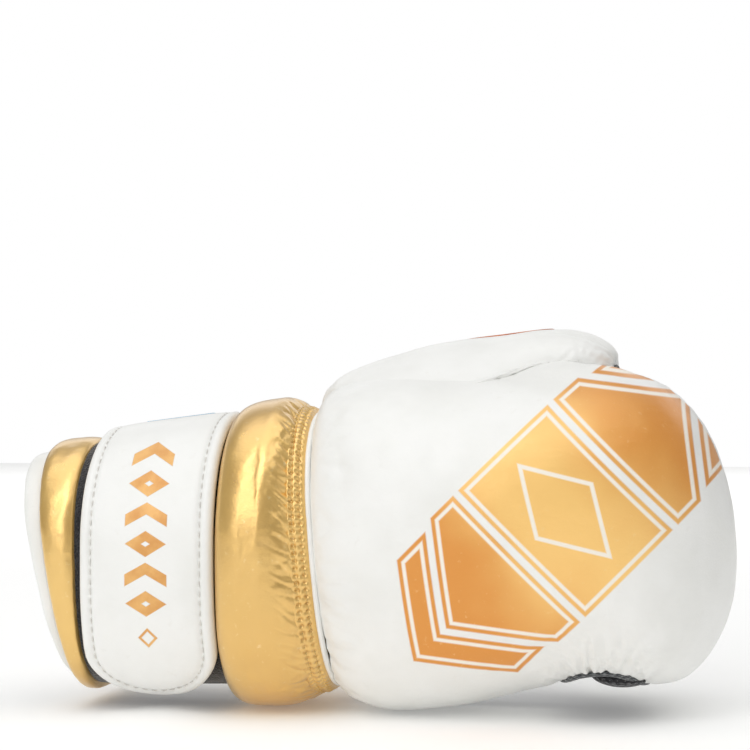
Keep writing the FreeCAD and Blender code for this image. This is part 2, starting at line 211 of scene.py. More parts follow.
def palm_open(p):
    """Above 0 where the glove is open: the palm, and the notch at the little-finger edge."""
    x, y, z = p[..., 0], p[..., 1], p[..., 2]
    behind_hood = (value_on(HOOD_CURVE, 1, z) - x) * 0.85
    palm = smooth_min(y - SPLIT_Y, behind_hood, 7.0)
    nx, nz, half_x, half_z = NOTCH
    notch = (1 - np.hypot((x - nx) / half_x, (z - nz) / half_z)) * half_z
    notch = smooth_min(notch, y - NOTCH_BACK_Y, 4.0)
    return smooth_max(palm, notch, 3.0)


def thumb_open(p):
    """Above 0 where the thumb stall is open towards the palm."""
    x, y, z = p[..., 0], p[..., 1], p[..., 2]
    return smooth_min(y - 5.0, value_on(THUMB_CURVE, 0, x) - z, 4.0)


def wrinkle(p, size, seed):
    """Soft noise from -1 to 1, with lumps about size across."""
    flat = p.reshape(-1, 3) / size
    offset = Vector((seed * 7.3, seed * 3.1, seed * 5.7))
    values = [noise.noise(Vector(q) + offset) for q in flat]
    return np.array(values).reshape(p.shape[:-1])


def gathers(p, centre, axis_a, axis_b, count, reach, depth, seed):
    """Pleats that run out from a point where the leather is gathered."""
    rel = p - np.asarray(centre)
    a, b = rel @ np.asarray(axis_a), rel @ np.asarray(axis_b)
    distance = np.linalg.norm(rel, axis=-1)
    angle = np.arctan2(b, a) + 0.25 * wrinkle(p, 14.0, seed)
    fade = np.exp(-(distance / reach) ** 2) * np.clip(distance / 5.0, 0, 1)
    ridge = np.abs(np.sin(angle * count / 2)) ** 0.7
    return depth * fade * (ridge - 0.65) * (1 + 0.5 * wrinkle(p, 9.0, seed + 1))


def creases(across, along, size_across, size_along, seed):
    """Thin wandering valleys, from 0 to 1, that run mostly along the second direction."""
    flat = np.stack([across / size_across + 0.35 * along / size_along, along / size_along,
                     np.full(across.shape, seed * 5.3)], axis=-1)
    values = np.array([noise.noise(Vector(q)) for q in flat.reshape(-1, 3)]).reshape(across.shape)
    return np.exp(-(values / 0.16) ** 2)


def fold(rows, first, last, width, depth):
    """A soft dent on the back of the hand, from one (x, z) to another."""
    way = np.subtract(last, first)
    rel = rows[..., [0, 2]] - first
    share = (rel @ way) / (way @ way)
    beside = np.linalg.norm(rel - np.clip(share, 0, 1)[..., None] * way, axis=-1)
    middle = np.sin(np.pi * np.clip(share, 0.02, 0.98)) ** 0.5
    return -depth * middle * np.exp(-(beside / width) ** 2) * (rows[..., 1] < 5.0)


def row_normals(rows, closed=True):
    """Unit normals of a grid of points, outward for rows that run in +X with columns from +Y to +Z."""
    along = np.gradient(rows, axis=0)
    if closed:
        around = (np.roll(rows, -1, axis=1) - np.roll(rows, 1, axis=1)) / 2
    else:
        around = np.gradient(rows, axis=1)
    normal = np.cross(around, along)
    return unit(normal)


def unit(vectors):
    return vectors / np.maximum(np.linalg.norm(vectors, axis=-1, keepdims=True), 1e-9)


def lifted(rows, lift):
    """Rows moved along their normals, each point by its lift."""
    return rows + row_normals(rows) * lift[..., None]


# ---- meshes ----


def new_object(name, mesh, material=None):
    piece = bpy.data.objects.new(name, mesh)
    bpy.context.scene.collection.objects.link(piece)
    if material:
        mesh.materials.append(material)
    return piece


@contextmanager
def editing(mesh):
    """The mesh as a bmesh, written back at the end."""
    bm = bmesh.new()
    bm.from_mesh(mesh)
    yield bm
    bm.to_mesh(mesh)
    bm.free()


def places_of(mesh):
    """Where the vertices are in the modelling frame, in millimetres."""
    return np.array([v.co[:] for v in mesh.vertices]) / MM - ZERO


def move_to(mesh, points):
    """Moves the vertices to points in the modelling frame, in millimetres."""
    for vertex, place in zip(mesh.vertices, to_row(points)):
        vertex.co = place


def shade(piece, thickness, subdivide=0, offset=-1.0):
    """Smooth shading, and the sheet's thickness and subdivision as real geometry."""
    piece.data.shade_smooth()
    if thickness:
        solidify = piece.modifiers.new("thickness", "SOLIDIFY")
        solidify.thickness = thickness * MM
        solidify.offset = offset
        solidify.use_quality_normals = True
    if subdivide:
        subsurf = piece.modifiers.new("smooth", "SUBSURF")
        subsurf.levels = subsurf.render_levels = subdivide
    bake_modifiers(piece)
    return piece


def bake_modifiers(piece):
    bpy.context.view_layer.update()
    graph = bpy.context.evaluated_depsgraph_get()
    mesh = bpy.data.meshes.new_from_object(piece.evaluated_get(graph), preserve_all_data_layers=True,
                                           depsgraph=graph)
    old = piece.data
    piece.modifiers.clear()
    piece.data = mesh
    mesh.name = piece.name
    bpy.data.meshes.remove(old)


def sheet_from_rows(name, rows, material, closed=True, field=None, capped=False):
    """A mesh over a grid of points, trimmed where field is above 0. A capped one has a face inside
    its last row. UV "cloth" runs round and along in metres, and UV "front" is the (x, z) that a
    print on the back of the hand is laid out in."""
    count, columns = rows.shape[:2]
    row_points = to_row(rows)
    bm = bmesh.new()
    cloth = bm.loops.layers.uv.new("cloth")
    front = bm.loops.layers.uv.new("front")
    level = bm.verts.layers.float.new("level")
    verts = [[bm.verts.new(p) for p in row] for row in row_points]
    if field is not None:
        for row, values in zip(verts, field):
            for v, value in zip(row, values):
                v[level] = value
    along = np.concatenate([[0], np.cumsum(np.linalg.norm(np.diff(row_points, axis=0), axis=2).mean(1))])
    width = np.linalg.norm(np.diff(row_points, axis=1), axis=2).mean()
    last = columns if closed else columns - 1
    for i in range(count - 1):
        for j in range(last):
            k = (j + 1) % columns
            corners = [(i, j, j), (i, k, j + 1), (i + 1, k, j + 1), (i + 1, j, j)]
            face = bm.faces.new([verts[a][b] for a, b, _ in corners])
            for loop, (a, b, c) in zip(face.loops, corners):
                loop[cloth].uv = (c * width, along[a])
                loop[front].uv = (rows[a, b, 0] * MM, rows[a, b, 2] * MM)
    if capped:
        bm.faces.new(verts[-1])
    if field is not None:
        trim(bm, level)
    bmesh.ops.remove_doubles(bm, verts=bm.verts, dist=0.00002)
    if capped:
        bmesh.ops.recalc_face_normals(bm, faces=bm.faces)
    mesh = bpy.data.meshes.new(name)
    bm.to_mesh(mesh)
    bm.free()
    return new_object(name, mesh, material)


def trim(bm, level):
    """Cuts the mesh along level = 0 and keeps the part below."""
    crossing = [e for e in bm.edges if (e.verts[0][level] > 0) != (e.verts[1][level] > 0)]
    cut = set()
    for edge in crossing:
        a, b = edge.verts
        share = a[level] / (a[level] - b[level])
        _, made = bmesh.utils.edge_split(edge, a, min(max(share, 0.02), 0.98))
        made[level] = 0.0
        cut.add(made)
    for face in {f for v in cut for f in v.link_faces}:
        ends = [v for v in face.verts if v in cut]
        if len(ends) == 2:
            try:
                bmesh.utils.face_split(face, ends[0], ends[1])
            except ValueError:
                pass
    above = [v for v in bm.verts if v[level] > 0 and v not in cut]
    bmesh.ops.delete(bm, geom=above, context="VERTS")
    loose = [v for v in bm.verts if not v.link_faces]
    bmesh.ops.delete(bm, geom=loose, context="VERTS")


def border_path(piece, first_x):
    """The longest border of an open mesh in front of x = first_x: points in millimetres in the
    modelling frame, with surface normals, starting at the lower end."""
    bm = bmesh.new()
    bm.from_mesh(piece.data)
    bmesh.ops.remove_doubles(bm, verts=bm.verts, dist=0.00003)
    bm.normal_update()
    edges = {e for e in bm.edges if e.is_boundary}
    found = []
    while edges:
        edge = edges.pop()
        loop = [edge.verts[0], edge.verts[1]]
        while True:
            following = [e for e in loop[-1].link_edges if e in edges]
            if not following:
                break
            edges.remove(following[0])
            loop.append(following[0].other_vert(loop[-1]))
        points = np.array([v.co[:] for v in loop]) / MM - ZERO
        normals = np.array([v.normal[:] for v in loop])
        if len(points) > 12:
            found.append((points, normals))
    bm.free()
    points, normals = max(found, key=lambda f: np.linalg.norm(np.diff(f[0], axis=0), axis=1).sum())
    kept = points[:, 0] > first_x
    if not kept.all():
        start = int(np.argmax(kept & ~np.roll(kept, 1)))
        points, normals, kept = [np.roll(a, -start, axis=0) for a in (points, normals, kept)]
        stop = int(np.argmin(kept)) if not kept.all() else len(kept)
        points, normals = points[:stop], normals[:stop]
    if points[0, 2] > points[-1, 2]:
        points, normals = points[::-1], normals[::-1]
    return even_path(points, normals, 1.3)


def even_path(points, normals, step):
    """A smoother path with points a step apart."""
    run = run_along(points)
    places = np.linspace(0, run[-1], int(run[-1] / step))
    return ease(read_at(places, run, points), 5), unit(ease(read_at(places, run, normals), 9))


def ease(values, width):
    """A moving average along a path that keeps its ends."""
    half = width // 2
    padded = np.concatenate([np.repeat(values[:1], half, axis=0), values, np.repeat(values[-1:], half, axis=0)])
    kernel = np.ones(width) / width
    if values.ndim == 1:
        return np.convolve(padded, kernel, mode="valid")
    return np.column_stack([np.convolve(c, kernel, mode="valid") for c in padded.T])


def matched(path, other):
    """For each point of a path, the place on another path that a band between them goes to."""
    cost = np.linalg.norm(path[:, None] - other[None], axis=2) ** 2
    total = np.full(cost.shape, np.inf)
    total[0, 0] = cost[0, 0]
    for i in range(len(path)):
        for j in range(len(other)):
            if i or j:
                before = min(total[i - 1, j] if i else np.inf, total[i, j - 1] if j else np.inf,
                             total[i - 1, j - 1] if i and j else np.inf)
                total[i, j] = cost[i, j] + before
    i, j = len(path) - 1, len(other) - 1
    places = [[] for _ in path]
    while True:
        places[i].append(j)
        if i == 0 and j == 0:
            break
        steps = [(i - 1, j - 1), (i - 1, j), (i, j - 1)]
        i, j = min((s for s in steps if s[0] >= 0 and s[1] >= 0), key=lambda s: total[s])
    return ease(np.array([float(np.mean(p)) for p in places]), 15)


def outwards(points, normals, field):
    """Directions along the surface, across a border, towards where field grows."""
    ahead = unit(np.gradient(points, axis=0))
    side = unit(np.cross(ahead, normals))
    grows = field(points + side * 2.0) > field(points - side * 2.0)
    side = np.where(grows[:, None], side, -side)
    return unit(ease(side, 9))


BAND_WIDTH = 2.6


def rim_band(name, outer, inner, field, first_x, material):
    """Binding round an opening: a soft band from the cover's border, round the cut edge of the
    padding, to the lining's border."""
    points, normals = border_path(outer, first_x)
    far_points, far_normals = border_path(inner, first_x)
    far_normals = -far_normals
    side, far_side = outwards(points, normals, field), outwards(far_points, far_normals, field)
    places, index = matched(points, far_points), np.arange(len(far_points))
    far_points, far_normals, far_side = [
        read_at(places, index, a) for a in (far_points, far_normals, far_side)]
    far_normals, far_side = unit(far_normals), unit(ease(far_side, 15))
    # the band's section on each border, as (across the border, above the surface)
    near = [(-BAND_WIDTH, 0.15), (0.1 - BAND_WIDTH, 0.75), (0.8 - BAND_WIDTH, 1.0), (-0.6, 1.1), (0.6, 0.8),
            (1.5, 0.0), (1.9, -1.2)]
    far = [(1.6, -0.8), (0.8, 0.4), (-1.0, 0.8), (-2.2, 0.6), (-2.4, -0.2)]
    near = [points + side * a + normals * h for a, h in near]
    far = [far_points + far_side * a + far_normals * h for a, h in far]
    between = []
    for share in (0.2, 0.4, 0.6, 0.8):
        bulge = (side + far_side) * 0.5 * math.sin(math.pi * share)
        between.append(near[-1] + (far[0] - near[-1]) * share + bulge)
    rows = np.stack(near + between + far, axis=1)
    rows = rows + (0.14 * wrinkle(rows, 5.0, 71))[..., None] * np.stack([normals] * rows.shape[1], axis=1)
    band = sheet_from_rows(name, rows, material, closed=False)
    with editing(band.data) as bm:
        bmesh.ops.recalc_face_normals(bm, faces=bm.faces)
    return shade(band, subdivide=1, thickness=0.5)


SETTLE_FRAMES = 20


def settle(piece, sewn, loose, growth=0.02, pressure=4.0, most=1.5):
    """Lets a cloth simulation puff the leather out, and pucker it where it is cut loose, beside
    its sewn edges. No point moves further than most, in millimetres."""
    points = places_of(piece.data)
    fullness = np.clip(loose(points), 0, 1)
    for name, weights in (("sewn", sewn(points)), ("taut", 1 - fullness)):
        group = piece.vertex_groups.new(name=name)
        for index, weight in enumerate(np.clip(weights, 0, 1)):
            group.add([index], float(weight), "REPLACE")
    cloth = piece.modifiers.new("cloth", "CLOTH")
    cloth.settings.vertex_group_mass = "sewn"
    cloth.settings.use_pressure = True
    cloth.settings.uniform_pressure_force = pressure
    cloth.settings.vertex_group_shrink = "taut"
    cloth.settings.shrink_min = -growth
    cloth.settings.shrink_max = 0.0
    cloth.settings.effector_weights.gravity = 0.0
    cloth.settings.bending_stiffness = 0.1
    cloth.point_cache.frame_end = SETTLE_FRAMES
    for step in range(1, SETTLE_FRAMES + 1):
        bpy.context.scene.frame_set(step)
    graph = bpy.context.evaluated_depsgraph_get()
    move = places_of(piece.evaluated_get(graph).data) - points
    piece.modifiers.remove(cloth)
    piece.vertex_groups.clear()
    bpy.context.scene.frame_set(1)
    size = np.maximum(np.linalg.norm(move, axis=1, keepdims=True), 1e-9)
    most = most * (0.15 + 0.85 * fullness[:, None])
    move_to(piece.data, points + move / size * most * np.tanh(size / most))


def softened(name, nodes, voxel, rounds, grow, material):
    """One smooth mesh over copies of CAD nodes, for padding, bindings and hems."""
    bm = bmesh.new()
    for node in nodes:
        bm.from_mesh(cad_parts[node].data)
    mesh = bpy.data.meshes.new(name)
    bm.to_mesh(mesh)
    bm.free()
    piece = new_object(name, mesh)
    mesh.materials.clear()
    mesh.materials.append(material)
    remesh = piece.modifiers.new("even", "REMESH")
    remesh.mode = "VOXEL"
    remesh.voxel_size = voxel * MM
    bake_modifiers(piece)
    with editing(piece.data) as bm:
        for _ in range(rounds):
            bmesh.ops.smooth_vert(bm, verts=bm.verts, factor=0.5, use_axis_x=True, use_axis_y=True,
                                  use_axis_z=True)
        bm.normal_update()
        for v in bm.verts:
            v.co += v.normal * grow * MM
    box_uv(piece)
    piece.data.shade_smooth()
    return piece


def box_uv(piece):
    """UV "cloth" in metres, from each face's two longest directions."""
    mesh = piece.data
    layer = mesh.uv_layers.get("cloth") or mesh.uv_layers.new(name="cloth")
    for face in mesh.polygons:
        n = [abs(c) for c in face.normal]
        flat = [i for i in range(3) if i != n.index(max(n))]
        for loop in face.loop_indices:
            co = mesh.vertices[mesh.loops[loop].vertex_index].co
            layer.data[loop].uv = (co[flat[0]], co[flat[1]])


def stitches(name, points, normals, material, length, gap):
    """Thread along a line of points in millimetres: short rounded stitches that dip at both ends."""
    radius, sink, sides = 0.26, 0.1, 6
    run = run_along(points)
    shares = np.linspace(0, 1, 7)
    arch = np.sin(np.pi * shares)
    verts, faces = [], []
    for start in np.arange(gap / 2, run[-1] - length, length + gap):
        spine = read_at(start + shares * length, run, points)
        up = unit(read_at(start + shares * length, run, normals))
        side = np.cross(up, unit(spine[-1] - spine[0]))
        spine = spine + up * (-sink - radius + (sink + radius + 0.25) * arch[:, None] ** 0.5)
        first = len(verts)
        for i in range(len(shares)):
            thick = radius * (0.55 + 0.45 * arch[i])
            for k in range(sides):
                turn = 2 * math.pi * k / sides
                verts.append(spine[i] + thick * (math.cos(turn) * side[i] + math.sin(turn) * up[i]))
        for i in range(len(shares) - 1):
            for k in range(sides):
                a, b = first + i * sides + k, first + i * sides + (k + 1) % sides
                faces.append((a, b, b + sides, a + sides))
        faces.append(tuple(range(first + sides - 1, first - 1, -1)))
        faces.append(tuple(range(len(verts) - sides, len(verts))))
    mesh = bpy.data.meshes.new(name)
    mesh.from_pydata([tuple(p) for p in to_row(verts)], [], faces)
    piece = new_object(name, mesh, material)
    box_uv(piece)
    mesh.shade_smooth()
    return piece


# ---- materials ----


def srgb(red, green, blue):
    """A colour given in screen values of 0 to 255, as the shader's linear numbers."""
    linear = [c / 3294.6 if c <= 10 else ((c / 255 + 0.055) / 1.055) ** 2.4 for c in (red, green, blue)]
    return (*linear, 1.0)


class Field:
    """A number that varies over a surface, with arithmetic, so that a pattern reads as a sum."""

    def __init__(self, look, socket):
        self.look, self.socket = look, socket

    def make(self, operation, *others, swap=False):
        values = (*others, self) if swap else (self, *others)
        node = self.look.tree.nodes.new("ShaderNodeMath")
        node.operation = operation
        for entry, value in zip(node.inputs, values):
            self.look.feed(entry, value)
        return Field(self.look, node.outputs[0])

    __rsub__ = partialmethod(make, "SUBTRACT", swap=True)

    def ramp(self, low, high):
        """0 at low, 1 at high, smooth between."""
        node = self.look.node("MapRange", Value=self, From_Min=low, From_Max=high)
        node.interpolation_type = "SMOOTHSTEP"
        return Field(self.look, node.outputs["Result"])


for method, operation in {
    "__add__": "ADD", "__radd__": "ADD", "__sub__": "SUBTRACT", "__mul__": "MULTIPLY", "__rmul__": "MULTIPLY",
    "__truediv__": "DIVIDE", "__abs__": "ABSOLUTE", "floor": "FLOOR", "fract": "FRACT", "root": "SQRT",
    "sine": "SINE", "least": "MINIMUM", "most": "MAXIMUM",
}.items():
    setattr(Field, method, partialmethod(Field.make, operation))


class Look:
    """A Principled material that is being built. Extra settings go straight on the shader."""

    def __init__(self, name, **settings):
        self.material = bpy.data.materials.new(name)
        self.material.use_nodes = True
        self.tree = self.material.node_tree
        self.shader = next(n for n in self.tree.nodes if n.type == "BSDF_PRINCIPLED")
        self.fill(self.shader, settings)

    def feed(self, entry, value):
        """Links a field or a socket to an entry, or sets a plain value on it."""
        value = getattr(value, "socket", value)
        if isinstance(value, bpy.types.NodeSocket):
            self.tree.links.new(value, entry)
        else:
            entry.default_value = value

    def fill(self, node, inputs):
        for key, value in inputs.items():
            self.feed(node.inputs[key.replace("_", " ")], value)

    def node(self, kind, **inputs):
        node = self.tree.nodes.new("ShaderNode" + kind)
        self.fill(node, inputs)
        return node

    def place(self, source):
        """A vector: "object" for the rest position, or the name of a UV layer."""
        if source == "object":
            return self.node("TexCoord").outputs["Object"]
        node = self.node("UVMap")
        node.uv_map = source
        return node.outputs["UV"]

    def axes(self, source):
        """The same vector as three fields, in millimetres."""
        split = self.node("SeparateXYZ", Vector=self.place(source))
        return [Field(self, out) * 1000.0 for out in split.outputs]

    def noise(self, size, detail=4.0, rough=0.55, source="object", stretch=(1, 1, 1)):
        """Noise from about 0 to 1 with lumps of a size in millimetres."""
        scale = self.node("Mapping", Scale=stretch, Vector=self.place(source))
        node = self.node("TexNoise", Scale=1000.0 / size, Detail=detail, Roughness=rough,
                         Vector=scale.outputs[0])
        return Field(self, node.outputs["Fac"])

    def cells(self, size):
        """Distance to the nearest cell's middle, for cells of a size in millimetres."""
        node = self.node("TexVoronoi", Scale=1000.0 / size, Vector=self.place("object"))
        return Field(self, node.outputs["Distance"])

    def mix(self, share, first, second):
        """A colour between two, each a colour or an earlier mix."""
        node = self.node("Mix")
        node.data_type = "RGBA"
        colours = [entry for entry in node.inputs if entry.type == "RGBA"]
        for entry, value in zip([node.inputs["Factor"], *colours], (share, first, second)):
            self.feed(entry, value)
        return next(out for out in node.outputs if out.type == "RGBA")

    def done(self, colour, roughness, *heights):
        """The material, with its bump from (field, height in millimetres) pairs."""
        total = sum((field * height for field, height in heights[1:]), heights[0][0] * heights[0][1])
        bump = self.node("Bump", Strength=1.0, Distance=MM, Height=total)
        self.fill(self.shader, {"Base_Color": colour, "Roughness": roughness, "Normal": bump.outputs[0]})
        return self.material


def leather_grain(look):
    """Heights of fine pores, a soft grain and long faint creases."""
    crease = look.noise(16.0, 5.0, 0.6, stretch=(1, 1, 2.2))
    return [(look.cells(0.9), 0.02), (look.noise(3.0), 0.05), (crease, 0.35)]


def white_leather(name, pattern=None):
    look = Look(name, Coat_Weight=0.12, Coat_Roughness=0.3, Specular_IOR_Level=0.45, Sheen_Weight=0.05)
    soft, fine = look.noise(28.0, 3.0), look.noise(4.0, 5.0)
    base = look.mix(soft.ramp(0.3, 0.7), srgb(246, 246, 243), srgb(240, 240, 236))
    base = look.mix(fine.ramp(0.62, 0.85) * 0.5, base, srgb(232, 230, 224))
    rough = 0.36 + look.noise(6.0) * 0.16
    heights = leather_grain(look)
    if pattern:
        base, metal, raised = pattern(look, base)
        look.fill(look.shader, {"Metallic": metal * 0.12})
        rough = rough - metal * 0.1
        heights.append((raised, 0.12))
    return look.done(base, rough, *heights)


PRINT_MIDDLE = (83.7, 74.8)  # (x, z) on the back of the hand


def hand_print(look, base):
    """A large diamond with two chevrons at each end, laid out at 45 degrees over the back of the hand."""
    x, z, _ = look.axes("front")
    right, up = x - PRINT_MIDDLE[0], z - PRINT_MIDDLE[1]
    along = (right + up) * math.sqrt(0.5)
    across = abs(right - up) * math.sqrt(0.5)
    soft = 0.35
    # signed distances inside each shape, in millimetres
    side = 30.0 - across
    block = (20.5 - abs(along)).least(side)
    middle = abs(along) + across * 0.774
    arrow = (abs(along) - 23.0).least((57.0 - middle) * 0.79).least(side)
    outer = ((middle - 60.0).least(74.0 - middle) * 0.79).least(side - 2.0)
    ring = 0.7 - abs(11.0 - (abs(along) * 0.86 + across * 0.52))
    inside = block.most(arrow).most(outer)
    shown = inside.ramp(-soft, soft)
    gap = inside.ramp(1.4 - soft, 1.4 + soft) - inside.ramp(2.7 - soft, 2.7 + soft)
    gap = gap.most(ring.ramp(-soft, soft))
    metal = (shown - gap).most(0.0)
    # painted sheen: the gold is lighter in the middle of the band and darker orange towards both ends; the
    # noise over it is random tone
    painted_sheen_and_tone = 1.0 - abs(along) * 0.018 + (look.noise(36.0, 2.0) - 0.5) * 0.9
    gold = look.mix(painted_sheen_and_tone.ramp(0.15, 0.95), srgb(228, 152, 66), srgb(255, 207, 124))
    gold = look.mix(look.noise(2.0, 3.0).ramp(0.62, 0.8) * 0.3, gold, srgb(252, 216, 152))
    colour = look.mix(shown, base, gold)
    colour = look.mix(gap, colour, srgb(250, 243, 230))
    return colour, metal, shown


def strap_print(look, base):
    """A column of small chevrons and diamonds down the middle of the strap."""
    x, z, _ = look.axes("front")
    across = abs(x + 64.5)
    period = 10.6
    step = (z - 35.0) / period
    place = (step.fract() - 0.5) * period
    odd = (step.floor() * 0.5).fract().ramp(0.2, 0.3)
    diamond = (1.0 - abs(place) / 4.6 - across / 7.6) * 3.9
    diamond = diamond.least(0.8 + (abs(place) / 4.6 + across / 7.6 - 0.42) * 3.9)
    rise = place + across * 0.55 - 1.9
    chevron = (2.1 - abs(rise)).least(7.8 - across)
    inside = diamond * (1.0 - odd) + chevron * odd
    column = (z - 35.0).least(98.6 - z)
    small = (1.0 - abs(z - 28.0) / 3.6 - across / 3.6) * 2.6
    small = small.least(0.9 - small)
    inside = inside.least(column).most(small)
    shown = inside.ramp(-0.2, 0.2)
    gold = look.mix(look.noise(9.0).ramp(0.35, 0.65), srgb(222, 158, 84), srgb(238, 184, 110))
    return look.mix(shown, base, gold), shown, shown


def gold_leather(name):
    look = Look(name, Coat_Weight=1.0, Coat_Roughness=0.3, Coat_IOR=1.75, Specular_IOR_Level=0.6)
    soft, fine = look.noise(30.0, 3.0), look.noise(2.4, 5.0)
    base = look.mix(soft.ramp(0.3, 0.7), srgb(238, 194, 104), srgb(228, 182, 92))
    base = look.mix(fine.ramp(0.6, 0.82) * 0.6, base, srgb(252, 226, 166))
    look.fill(look.shader, {"Metallic": 0.55 + look.noise(8.0) * 0.2})
    return look.done(base, 0.24 + look.noise(5.0) * 0.12, *leather_grain(look))


def dot_grid(look, pitch):
    """Distance in millimetres to the nearest point of a staggered grid."""
    u, v, _ = look.axes("cloth")
    row = v / (pitch * 0.866)
    shift = (row.floor() * 0.5).fract()
    du = ((u / pitch + shift).fract() - 0.5) * pitch
    dv = (row.fract() - 0.5) * (pitch * 0.866)
    return (du * du + dv * dv).root()


def dotted_mesh(name, pitch, radius, dot, ground_colour):
    """Black spacer mesh: a knitted ground with rows of small pale holes."""
    look = Look(name, Sheen_Weight=0.35, Sheen_Roughness=0.5, Specular_IOR_Level=0.3)
    distance, wobble = dot_grid(look, pitch), look.noise(1.2, 3.0, source="cloth")
    spot = 1.0 - (distance + wobble * 0.3).ramp(radius, radius + 0.3)
    lighter = tuple(c * 1.7 for c in ground_colour[:3]) + (1.0,)
    ground = look.mix(look.noise(14.0).ramp(0.3, 0.7) * 0.5, ground_colour, lighter)
    ground = look.mix(look.noise(0.7, 3.0, source="cloth").ramp(0.5, 0.75) * 0.5, ground, lighter)
    return look.done(look.mix(spot, ground, dot), 0.6 + wobble * 0.3,
                     ((distance / pitch).ramp(0.15, 0.5), 0.35), (wobble, 0.15))


def woven(name, first, second, pitch, source="cloth"):
    """Plain weave of threads a pitch apart."""
    look = Look(name, Sheen_Weight=0.2, Specular_IOR_Level=0.35)
    u, v, _ = look.axes(source)
    turn = 2 * math.pi / pitch
    weave = (u * turn).sine() * (v * turn).sine()
    grain = look.noise(0.8, 3.0, source=source)
    colour = look.mix((weave * 0.5 + grain * 0.5).ramp(-0.2, 0.7), first, second)
    return look.done(colour, 0.6 + grain * 0.25, (weave, 0.1), (grain, 0.1))


def ribbed(name, first, second, pitch):
    """Elastic: cords across a band, with fine threads over them."""
    look = Look(name, Sheen_Weight=0.2)
    u, v, _ = look.axes("cloth")
    rib = (u * (2 * math.pi / pitch)).sine()
    fine = (v * (2 * math.pi / 0.5)).sine()
    colour = look.mix((rib * 0.5 + 0.5) * (0.6 + look.noise(2.0) * 0.6), first, second)
    return look.done(colour, 0.62 + fine * 0.1, (rib, 0.25), (fine, 0.05))


def fuzzy(name, first, second, size, height):
    """Pile, foam or hooks: cells with a soft noise over them."""
    look = Look(name, Sheen_Weight=0.5, Specular_IOR_Level=0.25)
    cell, grain = look.cells(size), look.noise(size * 1.7, 5.0, 0.7)
    colour = look.mix((cell * 0.6 + grain * 0.6).ramp(0.35, 0.9), first, second)
    return look.done(colour, 0.75 + grain * 0.2, (cell, height), (grain, height))


def thread(name, first, second):
    """Twisted sewing thread."""
    look = Look(name, Specular_IOR_Level=0.5, Sheen_Weight=0.15)
    x, y, z = look.axes("object")
    twist = ((x + y * 1.3 + z * 0.8) * 9.0).sine()
    colour = look.mix(twist * 0.5 + 0.5, first, second)
    return look.done(colour, 0.42 + look.noise(1.0) * 0.2, (twist, 0.06), (look.noise(0.6), 0.05))


def badge_look(name):
    """Copper print with a pale diamond in the middle."""
    look = Look(name, Specular_IOR_Level=0.5, Coat_Weight=0.2, Coat_Roughness=0.25)
    x, z, _ = look.axes("front")
    size = abs(x - 57.0) / 11.0 + abs(z - 22.0) / 6.5
    line = (1.0 - abs(size - 0.8) / 0.11).ramp(0.0, 0.5)
    copper = look.mix(look.noise(7.0).ramp(0.3, 0.7), srgb(176, 92, 48), srgb(198, 112, 62))
    look.fill(look.shader, {"Metallic": 0.45 * (1.0 - line)})
    return look.done(look.mix(line, copper, srgb(240, 214, 186)), 0.34 + look.noise(2.0) * 0.15,
                     (look.cells(0.9), 0.02), (line, 0.1))


WHITE = white_leather("white_leather_look")
WHITE_HAND = white_leather("white_leather_hand_print", hand_print)
WHITE_STRAP = white_leather("white_leather_strap_print", strap_print)
GOLD = gold_leather("gold_leather_look")
MESH = dotted_mesh("mesh_lining", 2.4, 0.2, srgb(112, 112, 112), srgb(30, 30, 32))
MESH_EDGE = dotted_mesh("mesh_binding", 2.2, 0.26, srgb(170, 174, 174), srgb(52, 55, 57))
FABRIC = woven("black_fabric_look", srgb(20, 20, 22), srgb(46, 46, 50), 0.8)
ELASTIC = ribbed("elastic_look", srgb(16, 16, 18), srgb(54, 54, 58), 1.6)
PILE = fuzzy("pile_look", srgb(12, 12, 14), srgb(52, 52, 56), 0.7, 0.3)
HOOKS = fuzzy("hook_look", srgb(22, 22, 24), srgb(74, 74, 78), 1.0, 0.5)
FOAM = fuzzy("foam_look", srgb(58, 58, 62), srgb(92, 92, 96), 1.4, 0.2)
LABEL = woven("label_look", srgb(150, 198, 228), srgb(214, 233, 244), 0.9, "object")
COPPER = badge_look("badge_look")
GOLD_THREAD = thread("gold_thread", srgb(206, 164, 84), srgb(238, 204, 128))
WHITE_THREAD = thread("white_thread", srgb(226, 222, 214), srgb(250, 248, 244))


# ---- pieces ----


def ride(piece, body, slot, *nodes, fill=None):
    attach(piece, body)
    declare(nodes)


def bend(piece, first, second, start, end, slot, *nodes, fill=None):
    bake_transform(piece)
    declare(nodes)


def declare(nodes):
    if nodes:
        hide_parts(*nodes)


# two points of a slanting plane through the hood, with the whole of its rim over the palm on the fingers' side;
# bend takes them and doesn't use them
HOOD_BEND = ((63.0, 0.0, 60.0), (72.41, 2.353, 60.0))
SEAM_LEAN = 0.085  # how much the seams round the neck lean, towards the wrist at the thumb
NECK_BEND = ((-5.6, 0.0, 57.0), (-11.6, 0.0, 56.49))


def seam_lean(x, z):
    """How far the seams round the neck lie towards the wrist, more at the thumb than below."""
    near = np.clip((x + 25.0) / 15.0, 0, 1) * np.clip((18.0 - x) / 18.0, 0, 1)
    return SEAM_LEAN * (z - 57.0) * near


def to_neck(rows, share=1.0):
    """Draws the wrist end of the hand's layers back to the leaning neck seam."""
    x = rows[..., 0]
    drawn = 4.6 * np.clip((14.0 - x) / 14.0, 0, 1) + seam_lean(x, rows[..., 2])
    return np.concatenate([(x - share * drawn)[..., None], rows[..., 1:]], axis=-1)


